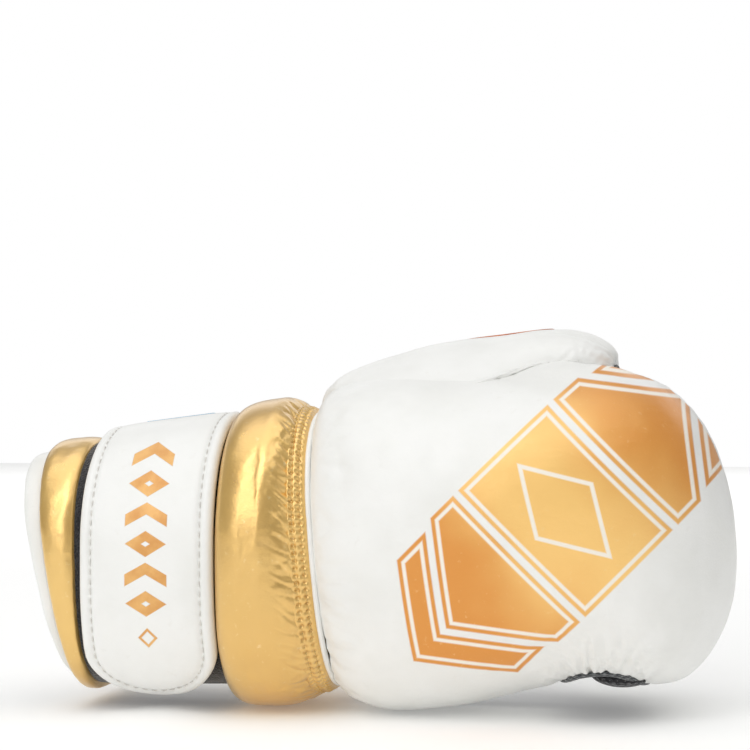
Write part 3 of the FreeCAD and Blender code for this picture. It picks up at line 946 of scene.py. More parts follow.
def hand_cover_rows():
    rows = to_neck(tube_rows(HAND, 2.0, 200, closed_front=True))
    lift = 0.5 * wrinkle(rows, 30.0, 1) + 0.18 * wrinkle(rows, 9.0, 2)
    x, y, z = rows[..., 0], rows[..., 1], rows[..., 2]
    # pleats over the notch, at the hood's corner by the thumb and behind the neck seam
    lift = lift + gathers(rows, (99.0, -36.0, 8.0), (1, 0, 0), (0, 0, 1), 26, 19.0, 2.6, 3)
    lift = lift + gathers(rows, (101.0, 22.0, 116.0), (1, 0, 0), (0, 0.7, -0.7), 26, 26.0, 1.6, 5)
    turn = np.arctan2(z - 60.0, y)
    neck = np.exp(-((x - 4.0) / 7.0) ** 2) * np.clip((x + 4.0) / 3.0, 0, 1)
    lift = lift - 1.1 * neck * creases(turn * 46, x, 7.0, 22.0, 7)
    lift = lift + knuckle_rise(x, y) * np.clip((z - 100.0) / 16.0, 0, 1)
    lift = lift + fold(rows, (9.0, 62.0), (14.0, 24.0), 3.2, 0.8)
    lift = lift + fold(rows, (4.0, 100.0), (9.0, 66.0), 2.6, 0.7)
    lift = lift + fold(rows, (120.0, 26.0), (132.0, 48.0), 2.4, 0.5)
    # the padding pulls in a little along the seam by the rim
    lift = lift - 0.9 * np.exp(-((palm_open(rows) + 1.5) / 2.2) ** 2)
    return lifted(rows, lift)


NOTCH_PLEATS = [
    # where each pleat starts and ends on the back, (x, z), how wide and how deep it is
    (84.0, 15.0, 74.0, 20.0, 1.0, 0.5), (87.0, 15.0, 80.0, 24.0, 0.9, 0.7), (89.0, 15.0, 86.5, 22.0, 0.7, 1.0),
    (90.5, 15.0, 92.0, 33.0, 0.8, 1.2), (92.5, 15.0, 96.0, 22.0, 0.6, 1.0), (94.0, 15.0, 100.0, 27.0, 0.7, 0.7),
    (96.5, 15.0, 101.0, 20.0, 0.6, 1.0), (99.0, 15.0, 107.0, 28.0, 0.8, 0.9),
    (101.5, 14.5, 107.0, 19.0, 0.7, 0.8), (104.0, 14.0, 114.0, 22.0, 1.0, 0.8),
    (107.0, 13.5, 117.0, 17.0, 1.0, 0.5),
]


def notch_pleats(points):
    """Sharp pleats where the leather is gathered over the notch at the little-finger edge."""
    depth = np.zeros(len(points))
    wander = 0.5 * wrinkle(points, 5.0, 61)
    for x0, z0, x1, z1, width, deep in NOTCH_PLEATS:
        way = np.array([x1 - x0, z1 - z0])
        rel = points[:, [0, 2]] - (x0, z0)
        share = rel @ way / (way @ way)
        across = (rel @ np.array([-way[1], way[0]])) / np.linalg.norm(way) + wander
        fade = np.clip((share + 0.5) * 3, 0, 1) * np.clip(1 - share, 0, 1) ** 0.7
        valley = -deep * np.exp(-(across / width) ** 2)
        ridge = 0.45 * deep * np.exp(-((np.abs(across) - 1.9 * width) / width) ** 2)
        depth += (valley + ridge) * fade
    edge = np.clip((-1.2 - palm_open(points)) / 2.5, 0.3, 1)
    return depth * edge * np.clip((-points[:, 1] - 14.0) / 8.0, 0, 1)


def refine(piece, span, top, times):
    """Divides the faces of the lower back between two x's more finely."""
    with editing(piece.data) as bm:
        for _ in range(times):
            edges = set()
            for face in bm.faces:
                x, y, z = np.array(face.calc_center_median()) / MM - ZERO
                if span[0] < x < span[1] and z < top and y < -12.0:
                    edges.update(face.edges)
            edges = sorted(edges, key=lambda e: e.index)
            bmesh.ops.subdivide_edges(bm, edges=edges, cuts=1, use_grid_fill=True)
            bm.edges.index_update()
            span, top = (span[0] + 3.0, span[1] - 3.0), top - 4.0


def press(piece, field):
    """Moves each vertex along its normal by a field of its place, in millimetres."""
    points = places_of(piece.data)
    normals = np.array([v.normal[:] for v in piece.data.vertices])
    move_to(piece.data, points + normals * field(points)[:, None])


def front_uv_to_back_only(piece):
    """Moves the print's layout off every face on the palm side."""
    layer = piece.data.uv_layers["front"]
    middle_y = ZERO[1] * MM
    for face in piece.data.polygons:
        if face.center.y > middle_y:
            for loop in face.loop_indices:
                layer.data[loop].uv.x += 1.0


def near_point(points, centre, reach):
    return np.exp(-(np.linalg.norm(points - np.asarray(centre), axis=1) / reach) ** 2)


def hand_fullness(points):
    """Where the hand's leather is cut loose: at the notch, the hood's corner and the neck seam."""
    corners = near_point(points, (94.0, -30.0, 12.0), 22.0) + near_point(points, (101.0, 24.0, 112.0), 26.0)
    return 0.12 + corners + np.exp(-((points[:, 0] - 2.0) / 8.0) ** 2) * 0.5


def make_hand():
    rows = hand_cover_rows()
    cover = sheet_from_rows("shell_cover", rows, WHITE_HAND, field=palm_open(rows) + 1.6)
    lining_rows = to_neck(tube_rows(CAVITY, 2.5, 150, closed_front=True), 0.3)
    lining_rows = lifted(lining_rows, 0.3 * wrinkle(lining_rows, 16.0, 11))
    lining = sheet_from_rows("shell_lining", lining_rows, MESH, field=palm_open(lining_rows) + 1.0)
    rim = rim_band("shell_binding", cover, lining, palm_open, 0.6, MESH_EDGE)
    settle(cover, lambda p: np.maximum((palm_open(p) + 4.0) / 3.0, -1.0 - p[:, 0]), hand_fullness)
    refine(cover, (70.0, 116.0), 40.0, 2)
    press(cover, notch_pleats)
    shade(cover, subdivide=1, thickness=1.2)
    front_uv_to_back_only(cover)
    bend(cover, "hand", "fingers", *HOOD_BEND, "white_leather", "back_cover", "hood_cover", fill=0.9)

    shade(lining, subdivide=1, thickness=1.6, offset=1.0)
    bend(lining, "hand", "fingers", *HOOD_BEND, "black_mesh", "back_lining", "hood_lining")

    foam = softened("shell_foam", ["back_foam", "hood_foam"], 3.0, 3, -0.9, FOAM)
    bend(foam, "hand", "fingers", *HOOD_BEND, "foam", "back_foam", "hood_foam", fill=0.95)

    bend(rim, "hand", "fingers", *HOOD_BEND, "black_mesh", "back_binding", "hood_binding")

    gusset = softened("hood_gusset_mesh", ["hood_gusset"], 1.2, 6, 0.3, MESH)
    for vertex in gusset.data.vertices:
        vertex.co.z += 0.25 * (0.016 - vertex.co.z)
        vertex.co.x += 0.12 * (vertex.co.x - 0.08)
    ride(gusset, "fingers", "black_mesh", "hood_gusset")

    loop = softened("finger_loop_band", ["finger_loop"], 0.7, 2, 0.1, ELASTIC)
    ride(loop, "fingers", "elastic", "finger_loop")


def make_palm():
    rows = to_neck(tube_rows(PALM_PANEL, 2.0, 220, grow=2.2))
    y, z = rows[..., 1], rows[..., 2]
    lift = 0.6 * wrinkle(rows, 22.0, 21) + 0.25 * wrinkle(rows, 8.0, 22)
    dent = np.exp(-((rows[..., 0] - 34.0 - 0.25 * (z - 55)) / 5.0) ** 2)
    lift = lift - 1.2 * dent * np.clip((y - 12.0) / 8.0, 0, 1)
    rows = lifted(rows, lift)
    field = smooth_max(z - PALM_TOP, 1.0 - y, 1.0)
    panel = sheet_from_rows("palm_panel_mesh", rows, MESH, field=field)
    shade(panel, subdivide=1, thickness=1.8)
    ride(panel, "hand", "black_mesh", "palm_panel")

    hem = softened("palm_hem_band", ["palm_hem"], 0.7, 4, 0.25, MESH_EDGE)
    ride(hem, "hand", "black_mesh", "palm_hem")


def top_height(stations, x, y, grow=0.0):
    """Height of the surface through the stations over (x, y), and -1e3 beside it."""
    table = np.asarray(stations, float)
    low, high, back, palm = [np.interp(x, table[:, 0], table[:, i]) for i in (1, 2, 3, 4)]
    widest = low + (high - low) * WIDEST
    side = np.abs((y - (back + palm) / 2) / ((palm - back) / 2 + grow))
    inside = (side < 1) & (x > table[0, 0]) & (x < table[-1, 0])
    z = widest + (high - widest + grow) * (1 - np.minimum(side, 1) ** POWER_UP) ** (1 / POWER_UP)
    return np.where(inside, z, -1e3)


def knuckle_rise(x, y):
    """How far the leather swells above the plain hand beside the thumb's tip."""
    return 4.2 * np.exp(-((x - 80.0) / 19.0) ** 2 - ((y + 11.0) / 12.0) ** 2)


def above_hand(rows, air=0.5, flare=0.0):
    """Lifts the thumb's underside onto the back pad and the hood. With a flare, its lower edge on
    the back runs out over the hand like a sewn-down flap."""
    x, y, z = rows[..., 0], rows[..., 1], rows[..., 2]
    seat = top_height(HAND, x, y, air) + knuckle_rise(x, y)
    backed = np.clip((-palm_open(rows) + air) / 3.0, 0, 1)
    z = np.where(seat > z, z + (seat - z) * backed, z)
    if flare:
        height = np.clip(z - seat, 0, None)
        low = np.clip(1 - height / 9.0, 0, 1) ** 2
        share = np.clip((76.0 - x) / 30.0, 0, 1)
        share = share * share * (3 - 2 * share) * np.clip((4.0 - y) / 8.0, 0, 1)
        y = y - flare * low * share
        sunk = 1.6 * low * np.clip((58.0 - x) / 16.0, 0, 1)
        flared = top_height(HAND, x, y, air) + knuckle_rise(x, y) + height - sunk
        z = np.where(share > 0.001, flared, z)
    return np.stack([x, y, z], axis=-1)


def above_seat(points):
    """How high points lie over the back pad's top."""
    x, y, z = points.T
    return z - top_height(HAND, x, y) - knuckle_rise(x, y)


THUMB_BEND = ((2.0, 0.0, 112.0), (40.0, 0.0, 112.0))  # two points over the thumb's first 40 mm, passed to bend, which doesn't use them


def closed_on_neck(rows):
    """Adds the turned-down end of the thumb's leather, from its first ring to the neck."""
    ends = []
    for share in (1.0, 0.6, 0.3):
        ring = rows[0].copy()
        ring[:, 0] -= 1.8 * math.sin(share * math.pi / 2)
        ring[:, 2] = 100.0 + (ring[:, 2] - 100.0) * (1 - 0.75 * share ** 2)
        ends.append(ring)
    return np.concatenate([ends, rows])


def make_thumb():
    rows = to_neck(tube_rows(THUMB, 1.8, 130, closed_front=True))
    x, y, z = rows[..., 0], rows[..., 1], rows[..., 2]
    # gathered at the tip, at the wrist end and where the flare runs out
    lift = 0.4 * wrinkle(rows, 24.0, 31) + 0.15 * wrinkle(rows, 7.0, 32)
    lift = lift + gathers(rows, (100.0, 10.0, 124.0), (0, 1, 0), (0, 0, 1), 20, 20.0, 1.2, 33)
    lift = lift + gathers(rows, (0.0, 12.0, 108.0), (0, 1, 0), (0, 0, 1), 18, 14.0, 0.9, 35)
    lift = lift + gathers(rows, (84.0, -12.0, 121.0), (1, 0, 0), (0, 0, 1), 22, 13.0, 1.8, 37)
    mid_x, mid_y, half_x, half_y = BADGE
    badge = np.hypot((x - mid_x) / (half_x + 3), (y - mid_y) / (half_y + 3))
    lift = lift * np.clip((z - 100.0) / 10.0, 0, 1) * np.where(z > 126, np.clip((badge - 0.9) * 4, 0, 1), 1)
    rows = closed_on_neck(above_hand(lifted(rows, lift), air=-0.2, flare=14.0))
    cover = sheet_from_rows("thumb_cover_leather", rows, WHITE, field=thumb_open(rows) + 1.6)
    lining_rows = above_hand(tube_rows(THUMB_SPACE, 2.0, 110, closed_front=True))
    field = np.maximum(thumb_open(lining_rows) + 1.0, 97.0 - lining_rows[..., 2])
    lining = sheet_from_rows("thumb_lining_fabric", lining_rows, FABRIC, field=field)
    rim = rim_band("thumb_binding_mesh", cover, lining, thumb_open, 1.5, MESH_EDGE)
    settle(cover, lambda p: np.maximum((thumb_open(p) + 5.0) / 3.0, (6.0 - above_seat(p)) / 4.0),
           lambda p: near_point(p, (98.0, 12.0, 126.0), 16.0), most=1.0)
    shade(cover, subdivide=1, thickness=1.0)
    bend(cover, "hand", "thumb", *THUMB_BEND, "white_leather", "thumb_cover", fill=0.9)

    shade(lining, subdivide=1, thickness=1.2, offset=1.0)
    bend(lining, "hand", "thumb", *THUMB_BEND, "black_fabric", "thumb_lining")

    foam = softened("thumb_foam_pad", ["thumb_foam"], 2.2, 2, -0.8, FOAM)
    bend(foam, "hand", "thumb", *THUMB_BEND, "foam", "thumb_foam", fill=0.95)
    bend(rim, "hand", "thumb", *THUMB_BEND, "black_mesh", "thumb_binding")

    badge_disc("thumb_badge_print", 0.0, 0.9, 0.3, COPPER, "copper_print", "thumb_badge")
    badge_disc("thumb_badge_border", 0.9, 1.0, 0.42, COPPER, "copper_print", "thumb_badge_ring")


def badge_disc(name, inner, outer, height, material, slot, node):
    """A raised patch on the thumb between two shares of the badge's outline."""
    mid_x, mid_y, half_x, half_y = BADGE
    edge = 0.05
    shares = np.concatenate([[outer], np.linspace(outer - 0.01, outer - edge, 4)])
    shares = np.concatenate([shares, np.linspace(outer - edge, inner + edge, 8 if inner == 0 else 3)[1:]])
    heights = [0.0] + [height * s for s in (0.6, 0.85, 0.96, 1.0)] + [height] * (len(shares) - 5)
    if inner:
        shares = np.concatenate([shares, [inner + 0.02, inner]])
        heights += [height * 0.8, 0.0]
    turns = np.linspace(0, 2 * np.pi, 96, endpoint=False)
    rows = []
    for share, rise in zip(shares, heights):
        x, y = mid_x + half_x * share * np.cos(turns), mid_y + half_y * share * np.sin(turns)
        rows.append(np.column_stack([x, y, top_height(THUMB, x, y) + 0.06 + rise]))
    rows = np.array(rows)
    piece = sheet_from_rows(name, rows, material, capped=not inner)
    layer = piece.data.uv_layers["front"]
    for loop in piece.data.loops:
        co = piece.data.vertices[loop.vertex_index].co
        layer.data[loop.index].uv = (co.x - ZERO[0] * MM, co.y - ZERO[1] * MM)
    shade(piece, thickness=0.25)
    ride(piece, "thumb", slot, node)


def cuff_oval(x):
    share = x / MOUTH_BACK
    return [neck + (mouth - neck) * share for neck, mouth in zip(NECK_OVAL, MOUTH_OVAL)]


def cuff_lean(x):
    return MOUTH_LEAN * max(0.0, (STRAP_BACK - x) / (STRAP_BACK - MOUTH_BACK))


def cuff_rows(profile, columns):
    """Rows round the cuff through a profile of (x, height over the plain oval)."""
    rows = []
    for x, grow in profile:
        y, z = oval_points(*cuff_oval(x), grow, columns)
        rows.append(np.column_stack([x - cuff_lean(x) * (z - CUFF_MIDDLE_Z) - seam_lean(x, z), y, z]))
    return np.array(rows)


def barrel(front, back, base, bulge, count):
    """The profile of a padded roll, from its back edge to its front edge."""
    turns = np.linspace(0, np.pi, count)
    shares = (1 - np.cos(turns)) / 2
    rise = (1 - np.abs(2 * shares - 1) ** 3) ** (1 / 3)
    return [(back + (front - back) * s, base + bulge * r) for s, r in zip(shares, rise)]


STITCH_COUNT = 120
STITCH_ROWS = (-10.9, -8.0)  # x of the two rows of stitches
ROLL_FALL = 13.4  # from the roll's crown to its front edge
ROLL_EDGE = 4.4  # the roll's height over the plain oval at its front edge


STRIP_PROFILE = [
    (-13.4, 3.2), (-12.8, 4.3), (-12.2, 4.5), (-11.8, 4.4), (-11.4, 4.1), (-10.9, 3.7), (-10.4, 3.7),
    (-9.9, 3.9), (-9.4, 3.8), (-8.9, 3.6), (-8.4, 3.2), (-8.0, 2.8), (-7.6, 2.8), (-7.2, 2.7), (-6.7, 2.3),
    (-6.2, 1.6), (-5.7, 0.8), (-5.0, 0.0), (-4.2, -0.5),
]


def roll_profile():
    """The roll, from its back edge to the strip: round at the back, falling softly in front."""
    half = [(x, grow) for x, grow in barrel(ROLL_FRONT, ROLL_BACK, 0.3, 8.9, 61) if x <= -25.0]
    shares = np.sin(np.linspace(0, math.pi / 2, 30))[1:]
    return half + [(-25.0 + ROLL_FALL * t, 9.2 - (9.2 - ROLL_EDGE) * t ** 2.4) for t in shares]


def squeeze_to_profile(foam):
    """Keeps the roll's foam under the leather where the profile falls in front."""
    moved = places_of(foam.data)
    for place in moved:
        x, y, z = place
        share = min(1.2, max(0.0, (x + seam_lean(x, z) + 26.0) / ROLL_FALL))
        spare = 6.6 * share ** 2.4 * min(1.0, max(0.0, -oval_depth_at(x, y, z) / 3.0))
        place += unit(np.array([0.0, -3.0 - y, 58.0 - z])) * spare
        place[0] -= min(1.0, share) * (2.0 + max(0.0, SEAM_LEAN * (z - 45.0)))
    move_to(foam.data, moved)


def oval_depth_at(x, y, z):
    """How far inside the cuff's plain oval a point lies, below 0 outside."""
    low, high, back, palm = cuff_oval(x)
    widest = low + (high - low) * WIDEST
    power = POWER_UP if z >= widest else POWER_DOWN
    reach = high - widest if z >= widest else widest - low
    half = (palm - back) / 2
    size = (abs((y - (back + palm) / 2) / half) ** power + (abs(z - widest) / reach) ** power) ** (1 / power)
    return (1 - size) * min(half, reach)


def neck_side(points):
    """How far along the cuff points lie, with the lean of the neck seam taken out."""
    return points[:, 0] + seam_lean(points[:, 0], points[:, 2])


def cuff_layer(name, profile, columns, material, *lumps, thickness=0.8, offset=-1.0):
    """A smooth ring of the cuff. Each of its lumps is (height, size, seed)."""
    rows = cuff_rows(profile, columns)
    if lumps:
        rows = lifted(rows, sum(height * wrinkle(rows, size, seed) for height, size, seed in lumps))
    return shade(sheet_from_rows(name, rows, material), subdivide=1, thickness=thickness, offset=offset)


def make_cuff():
    rows = cuff_rows(roll_profile(), 420)
    x, y, z = rows[..., 0], rows[..., 1], rows[..., 2]
    turn = np.arctan2(z - 56.0, y)
    near = np.clip((x + seam_lean(x, z) + 21.0) / 9.0, 0, 1) ** 1.2
    patchy = np.clip(0.6 + 0.9 * wrinkle(rows, 22.0, 41), 0, 1)
    lift = 0.4 * wrinkle(rows, 26.0, 42) + near * 0.4 * wrinkle(rows, 3.5, 43)
    lift = lift - near * patchy * 1.0 * creases(turn * 46 - 0.6 * x, x, 3.4, 14.0, 46)
    roll = sheet_from_rows("roll_cover_leather", lifted(rows, lift * np.clip(z / 5.0, 0, 1)), GOLD)
    settle(roll, lambda p: np.maximum(neck_side(p) + 13.0, ROLL_BACK + 1.5 - p[:, 0]) / 1.5,
           lambda p: (neck_side(p) + 18.5) / 5.0, growth=0.015, pressure=2.0)
    shade(roll, subdivide=1, thickness=1.0)
    ride(roll, "cuff", "gold_leather", "roll_cover", fill=0.95)
    foam = softened("roll_foam_pad", ["roll_foam"], 2.5, 2, -0.7, FOAM)
    squeeze_to_profile(foam)
    ride(foam, "cuff", "foam", "roll_foam", fill=0.95)

    # a flat strip with two rows of stitches joins the roll to the hand
    rows = cuff_rows(STRIP_PROFILE, STITCH_COUNT * 6)
    x = np.array([x for x, _ in STRIP_PROFILE])[:, None]
    phase = np.abs((np.arange(STITCH_COUNT * 6) % 6) - 3) / 3.0
    beside = np.minimum(np.abs(x - STITCH_ROWS[0]), np.abs(x - STITCH_ROWS[1]))
    ladder = np.clip((x + 12.6) / 1.2, 0, 1) * np.clip((-6.4 - x) / 1.4, 0, 1)
    lift = -1.0 * np.exp(-(beside / 0.6) ** 2) * phase[None, :] ** 4
    lift = lift + 0.3 * ladder * (0.5 - phase[None, :])
    lift = lift + 0.3 * wrinkle(rows, 3.6, 45) + 0.25 * wrinkle(rows, 9.0, 44)
    neck = sheet_from_rows("neck_sleeve_leather", lifted(rows, lift * np.clip((-x - 5.0) / 1.5, 0, 1)), GOLD)
    shade(neck, thickness=0.9)
    bend(neck, "hand", "cuff", *NECK_BEND, "gold_leather", "neck_sleeve", "roll_welt")

    for name, x in zip(("neck_stitch_back", "neck_stitch_front"), STITCH_ROWS):
        path, normal = cuff_path(x, 3.5 if x < -9.0 else 2.7, STITCH_COUNT * 6)
        pitch = np.linalg.norm(np.diff(path, axis=0), axis=1).sum() / STITCH_COUNT
        row = stitches(name, path, normal, GOLD_THREAD, length=pitch * 0.78, gap=pitch * 0.22)
        bend(row, "hand", "cuff", *NECK_BEND, "gold_leather")

    profile = [(-6.6, -0.4), (-6.6, 0.8), (-6.1, 1.6), (-5.3, 1.9), (-4.6, 1.5), (-4.3, 0.6), (-4.3, -0.5)]
    ride(cuff_layer("neck_piping", profile, 240, WHITE), "hand", "white_leather")

    profile = barrel(ROLL_BACK - 0.2, BAND_BACK, 1.1, 0.5, 34)
    band = cuff_layer("pile_band_loops", profile, 260, PILE, (0.16, 1.6, 51))
    ride(band, "cuff", "loop_pile", "pile_band")

    profile = barrel(BAND_BACK + 0.3, END_BACK, -0.2, 3.7, 30)
    end = cuff_layer("end_roll_leather", profile, 240, GOLD, (0.3, 20.0, 53), (0.12, 4.0, 54))
    ride(end, "cuff", "gold_leather", "end_roll_cover", fill=0.9)

    inner = [(END_BACK + 0.4, -9.2), (MOUTH_BACK + 2.0, -9.1), (MOUTH_BACK + 0.2, -8.2)]
    profile = inner + barrel(END_BACK + 0.4, MOUTH_BACK, -3.4, 2.6, 22)
    mouth = cuff_layer("mouth_roll_leather", profile, 240, WHITE, (0.22, 12.0, 55), thickness=0.0)
    ride(mouth, "cuff", "white_leather", "mouth_roll", fill=0.8)

    profile = [(x, -10.6) for x in np.linspace(MOUTH_BACK + 2.4, -6.0, 60)]
    lining = cuff_layer("cuff_lining_fabric", profile, 160, FABRIC, (0.5, 18.0, 57), thickness=1.2, offset=1.0)
    ride(lining, "cuff", "black_fabric", "cuff_lining")


def cuff_path(x, height, count):
    """Points round the cuff at x, a height over the plain oval, with their outward normals."""
    y, z = oval_points(*cuff_oval(x), height, count)
    points = np.column_stack([x - seam_lean(x, z), y, z])
    points = np.vstack([points, points[:1]])
    return points, unit(np.cross(np.gradient(points, axis=0), (1.0, 0.0, 0.0)))


# ---- strap ----

STRAP_FRONT = ROLL_BACK - 0.4
STRAP_MID = (STRAP_FRONT + STRAP_BACK) / 2
STRAP_HALF = (STRAP_FRONT - STRAP_BACK) / 2
STRAP_TIP_Z, STRAP_TIP_HEIGHT = 3.0, 19.0
STRAP_SEAM = 3.2  # how far the flap's seam on top lies towards the back
BORDER = 4.6  # from the strap's edge to its row of stitches
# how far from the edge the strap's rows lie
RIM = [0.0, 0.08, 0.25, 0.55, 1.0, 1.6, 2.4, 3.2, 3.8, 4.2, 4.6, 5.0, 5.4, 6.2, 7.4, 9.0, 11.0]


def oval_at(x, grow, angle):
    return section(*cuff_oval(x), grow, angle)


def angle_of_height(z, side):
    """The angle where the strap's section is z high, on the back (side -1) or the palm (side 1)."""
    angles = np.linspace(math.pi / 2, math.pi * (0.5 - side), 2000)
    _, heights = oval_at(STRAP_MID, STRAP_TOP, angles)
    order = np.argsort(heights)
    return float(np.interp(z, heights[order], angles[order]))


def strap_height(inward):
    """Height over the strap's underside: rounded edges, a stitched groove and a full middle."""
    thick = STRAP_TOP - FLAP_BOTTOM
    rounded = thick * np.sqrt(np.clip(1 - (1 - np.clip(inward / 2.6, 0, 1)) ** 2, 0, 1))
    groove = 0.75 * np.exp(-((inward - BORDER) / 0.75) ** 2)
    middle = 0.45 * (1 - np.exp(-np.clip(inward - BORDER, 0, None) / 4.0))
    return rounded - groove + middle


def strap_piece(name, angles, tip_shares, bottom, material):
    """A closed strap along angles round the cuff. The tip share is 0 where its sides are straight
    and grows to 1 at a round tip."""
    inward = np.array(RIM)
    across = np.concatenate([-(1 - inward / STRAP_HALF), (1 - inward[::-1] / STRAP_HALF)])
    across = np.sort(np.concatenate([across, np.linspace(-0.48, 0.48, 15)]))
    top, under = [], []
    for angle, share in zip(angles, tip_shares):
        narrowed = math.sqrt(max(0.0, 1 - share ** 2))
        inside = (1 - np.hypot(across * narrowed, share)) * STRAP_HALF
        for rows, heights in ((top, bottom + strap_height(inside)), (under, np.full(len(across), bottom))):
            row = []
            for x, height in zip(STRAP_MID + across * STRAP_HALF * narrowed, heights):
                row.append((x, *map(float, oval_at(x, height, angle))))
            rows.append(row)
    top, under = np.array(top), np.array(under)
    lift = 0.22 * wrinkle(top, 22.0, 61) + 0.08 * wrinkle(top, 6.0, 62)
    normal = row_normals(top, closed=False)
    outward = top - (0, sum(cuff_oval(STRAP_MID)[2:]) / 2, 55.0)
    outward[..., 0] = 0
    sign = np.sign((normal * outward).sum(-1, keepdims=True))
    top = top + normal * sign * lift[..., None] * 0.6
    top[:, 0], top[:, -1] = under[:, 0], under[:, -1]
    piece = sheet_from_rows(name, np.concatenate([top, under[:, -2:0:-1]], axis=1), material)
    with editing(piece.data) as bm:
        bmesh.ops.remove_doubles(bm, verts=bm.verts, dist=0.00003)
        bmesh.ops.holes_fill(bm, edges=[e for e in bm.edges if e.is_boundary], sides=0)
        bmesh.ops.recalc_face_normals(bm, faces=bm.faces)
    piece.data.shade_smooth()
    return piece


def peel(piece, *nodes, fill=None):
    """Bakes a flap piece's transform and hides its CAD nodes. The cuff, the strap's body and a line at the seam
    on top go to bend, which doesn't use them.
    """
    bend(piece, "cuff", "strap", (STRAP_MID, -3.0, 108.0), (STRAP_MID, -12.0, 108.0), "white_leather", *nodes,
         fill=fill)


def make_strap():
    turns = np.linspace(math.pi / 2, math.pi, 400)
    seam = float(np.interp(STRAP_SEAM, -oval_at(STRAP_MID, STRAP_TOP, turns)[0], turns))
    bend_z = STRAP_TIP_Z + STRAP_TIP_HEIGHT
    straight = np.linspace(seam, angle_of_height(bend_z, -1), 60)
    inward = np.array(RIM + [13.0, 15.0, 17.0])
    tip_shares = np.sort(1 - inward[inward < STRAP_TIP_HEIGHT] / STRAP_TIP_HEIGHT)
    tip_shares = tip_shares[tip_shares > 0.02]
    tip = [angle_of_height(z, -1) for z in bend_z - STRAP_TIP_HEIGHT * tip_shares]
    shares = np.concatenate([np.zeros(len(straight) - 1), tip_shares])
    flap = strap_piece("strap_flap_leather", [*straight[:-1], *tip], shares, FLAP_BOTTOM, WHITE_STRAP)
    peel(flap, "strap_flap", fill=0.7)

    angles = np.linspace(angle_of_height(34.0, 1), seam, 70)
    base = strap_piece("strap_base_leather", angles, np.zeros(70), BAND_TOP + 0.4, WHITE)
    ride(base, "cuff", "white_leather", "strap_base", fill=0.7)

    # the thread follows the groove: down one side, round the tip and up the other side
    half, depth = STRAP_HALF - BORDER, STRAP_TIP_HEIGHT * (STRAP_HALF - BORDER) / STRAP_HALF
    line = [(STRAP_MID + half, a) for a in straight]
    for turn in np.linspace(0, math.pi, 80)[1:-1]:
        line.append((STRAP_MID + half * math.cos(turn), angle_of_height(bend_z - depth * math.sin(turn), -1)))
    line += [(STRAP_MID - half, a) for a in straight[::-1]]
    low = np.array([(x, *map(float, oval_at(x, FLAP_BOTTOM + 2.9, a))) for x, a in line])
    high = np.array([(x, *map(float, oval_at(x, FLAP_BOTTOM + 6.9, a))) for x, a in line])
    peel(stitches("strap_flap_stitching", low, high - low, WHITE_THREAD, 2.6, 0.9))


# ---- scene ----


def make_stage():
    bm = bmesh.new()
    size = 3.0
    corners = [bm.verts.new((sx * size, sy * size, -0.0004)) for sx, sy in ((-1, -1), (1, -1), (1, 1), (-1, 1))]
    bm.faces.new(corners)
    mesh = bpy.data.meshes.new("floor")
    bm.to_mesh(mesh)
    bm.free()
    look = Look("floor_paper", Specular_IOR_Level=0.2, Emission_Color=(1.0, 1.0, 1.0, 1.0),
                Emission_Strength=0.13)
    colour = look.mix(look.noise(60.0), srgb(250, 250, 249), srgb(253, 253, 252))
    paper = look.done(colour, 0.7 + look.noise(2.0) * 0.2, (look.noise(1.5), 0.01))
    new_object("floor", mesh, paper)


def aimed(thing, place, target):
    thing.location = place
    thing.rotation_mode = "QUATERNION"
    thing.rotation_quaternion = (Vector(target) - Vector(place)).to_track_quat("-Z", "Y")


def area_light(name, place, target, width, height, power):
    data = bpy.data.lights.new(name, "AREA")
    data.shape = "RECTANGLE"
    data.size, data.size_y, data.energy = width, height, power
    light = bpy.data.objects.new(name, data)
    bpy.context.scene.collection.objects.link(light)
    aimed(light, place, target)


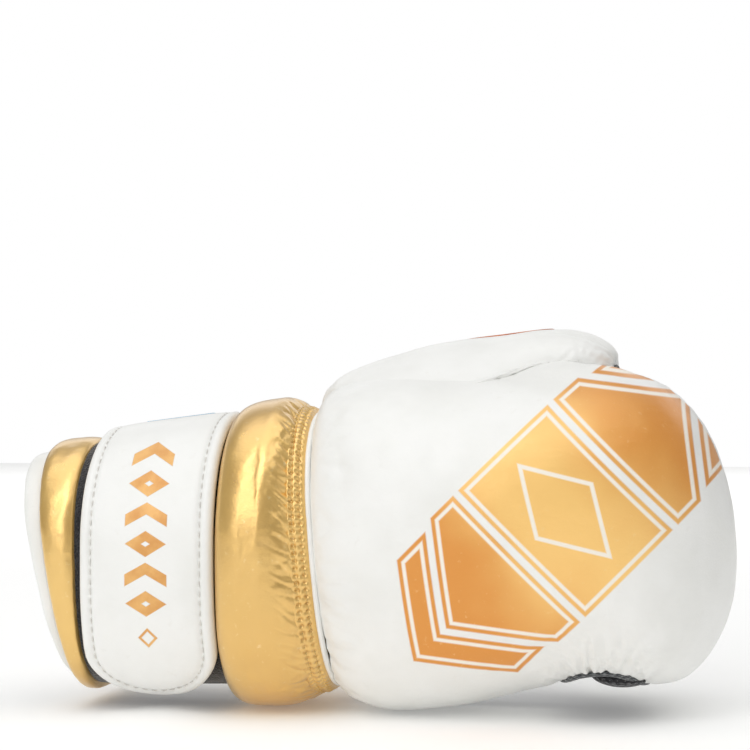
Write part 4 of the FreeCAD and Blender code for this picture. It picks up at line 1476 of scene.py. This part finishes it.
def make_lights():
    area_light("softbox_above", (-0.1, -0.15, 1.1), (0, 0, 0.06), 1.2, 0.9, 1.7)
    area_light("softbox_left", (-0.42, -1.05, 0.78), (0, 0, 0.07), 0.42, 1.4, 5.2)
    area_light("backdrop_light", (0.0, 1.8, 1.0), (0.0, 1.8, 0.0), 3.0, 1.6, 12.0)
    area_light("softbox_right", (1.1, -0.5, 0.5), (0, 0, 0.07), 0.4, 0.8, 0.2)
    ceiling = bpy.data.lights.new("ceiling", "SUN")
    ceiling.energy, ceiling.angle = 0.92, math.radians(80)
    lamp = bpy.data.objects.new("ceiling", ceiling)
    bpy.context.scene.collection.objects.link(lamp)
    aimed(lamp, (0, 0, 2), (0, 0.3, 0))
    world = bpy.data.worlds.new("studio")
    world.use_nodes = True
    tree = world.node_tree
    background = tree.nodes["Background"]
    background.inputs["Color"].default_value = (1.0, 1.0, 1.0, 1.0)
    # the backdrop is a lit white sweep: it looks white, and adds only a soft fill to the glove
    seen = tree.nodes.new("ShaderNodeLightPath").outputs["Is Camera Ray"]
    strength = tree.nodes.new("ShaderNodeMapRange")
    strength.inputs["To Min"].default_value = 0.33
    strength.inputs["To Max"].default_value = 1.0
    tree.links.new(seen, strength.inputs["Value"])
    tree.links.new(strength.outputs["Result"], background.inputs["Strength"])
    bpy.context.scene.world = world
    bpy.context.scene.view_settings.view_transform = "Standard"


def make_camera():
    data = bpy.data.cameras.new("camera")
    data.lens, data.sensor_width = 90.3, 36.0
    camera = bpy.data.objects.new("camera", data)
    bpy.context.scene.collection.objects.link(camera)
    place = Vector((0.1219, -0.6889, 0.1088))
    turn, rise = math.radians(10.2), math.radians(1.07)
    ahead = Vector((-math.sin(turn) * math.cos(rise), math.cos(turn) * math.cos(rise), math.sin(rise)))
    aimed(camera, place, place + ahead)
    data.clip_start, data.clip_end = 0.01, 20.0
    bpy.context.scene.camera = camera


make_stage()
make_lights()
make_camera()
make_hand()
make_palm()
make_thumb()
make_cuff()
make_strap()

for node, look in (("cuff_foam", FOAM), ("end_roll_foam", FOAM), ("cuff_shell", WHITE),
                   ("hook_patch", HOOKS), ("strap_label", LABEL)):
    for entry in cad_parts[node].material_slots:
        entry.material = look
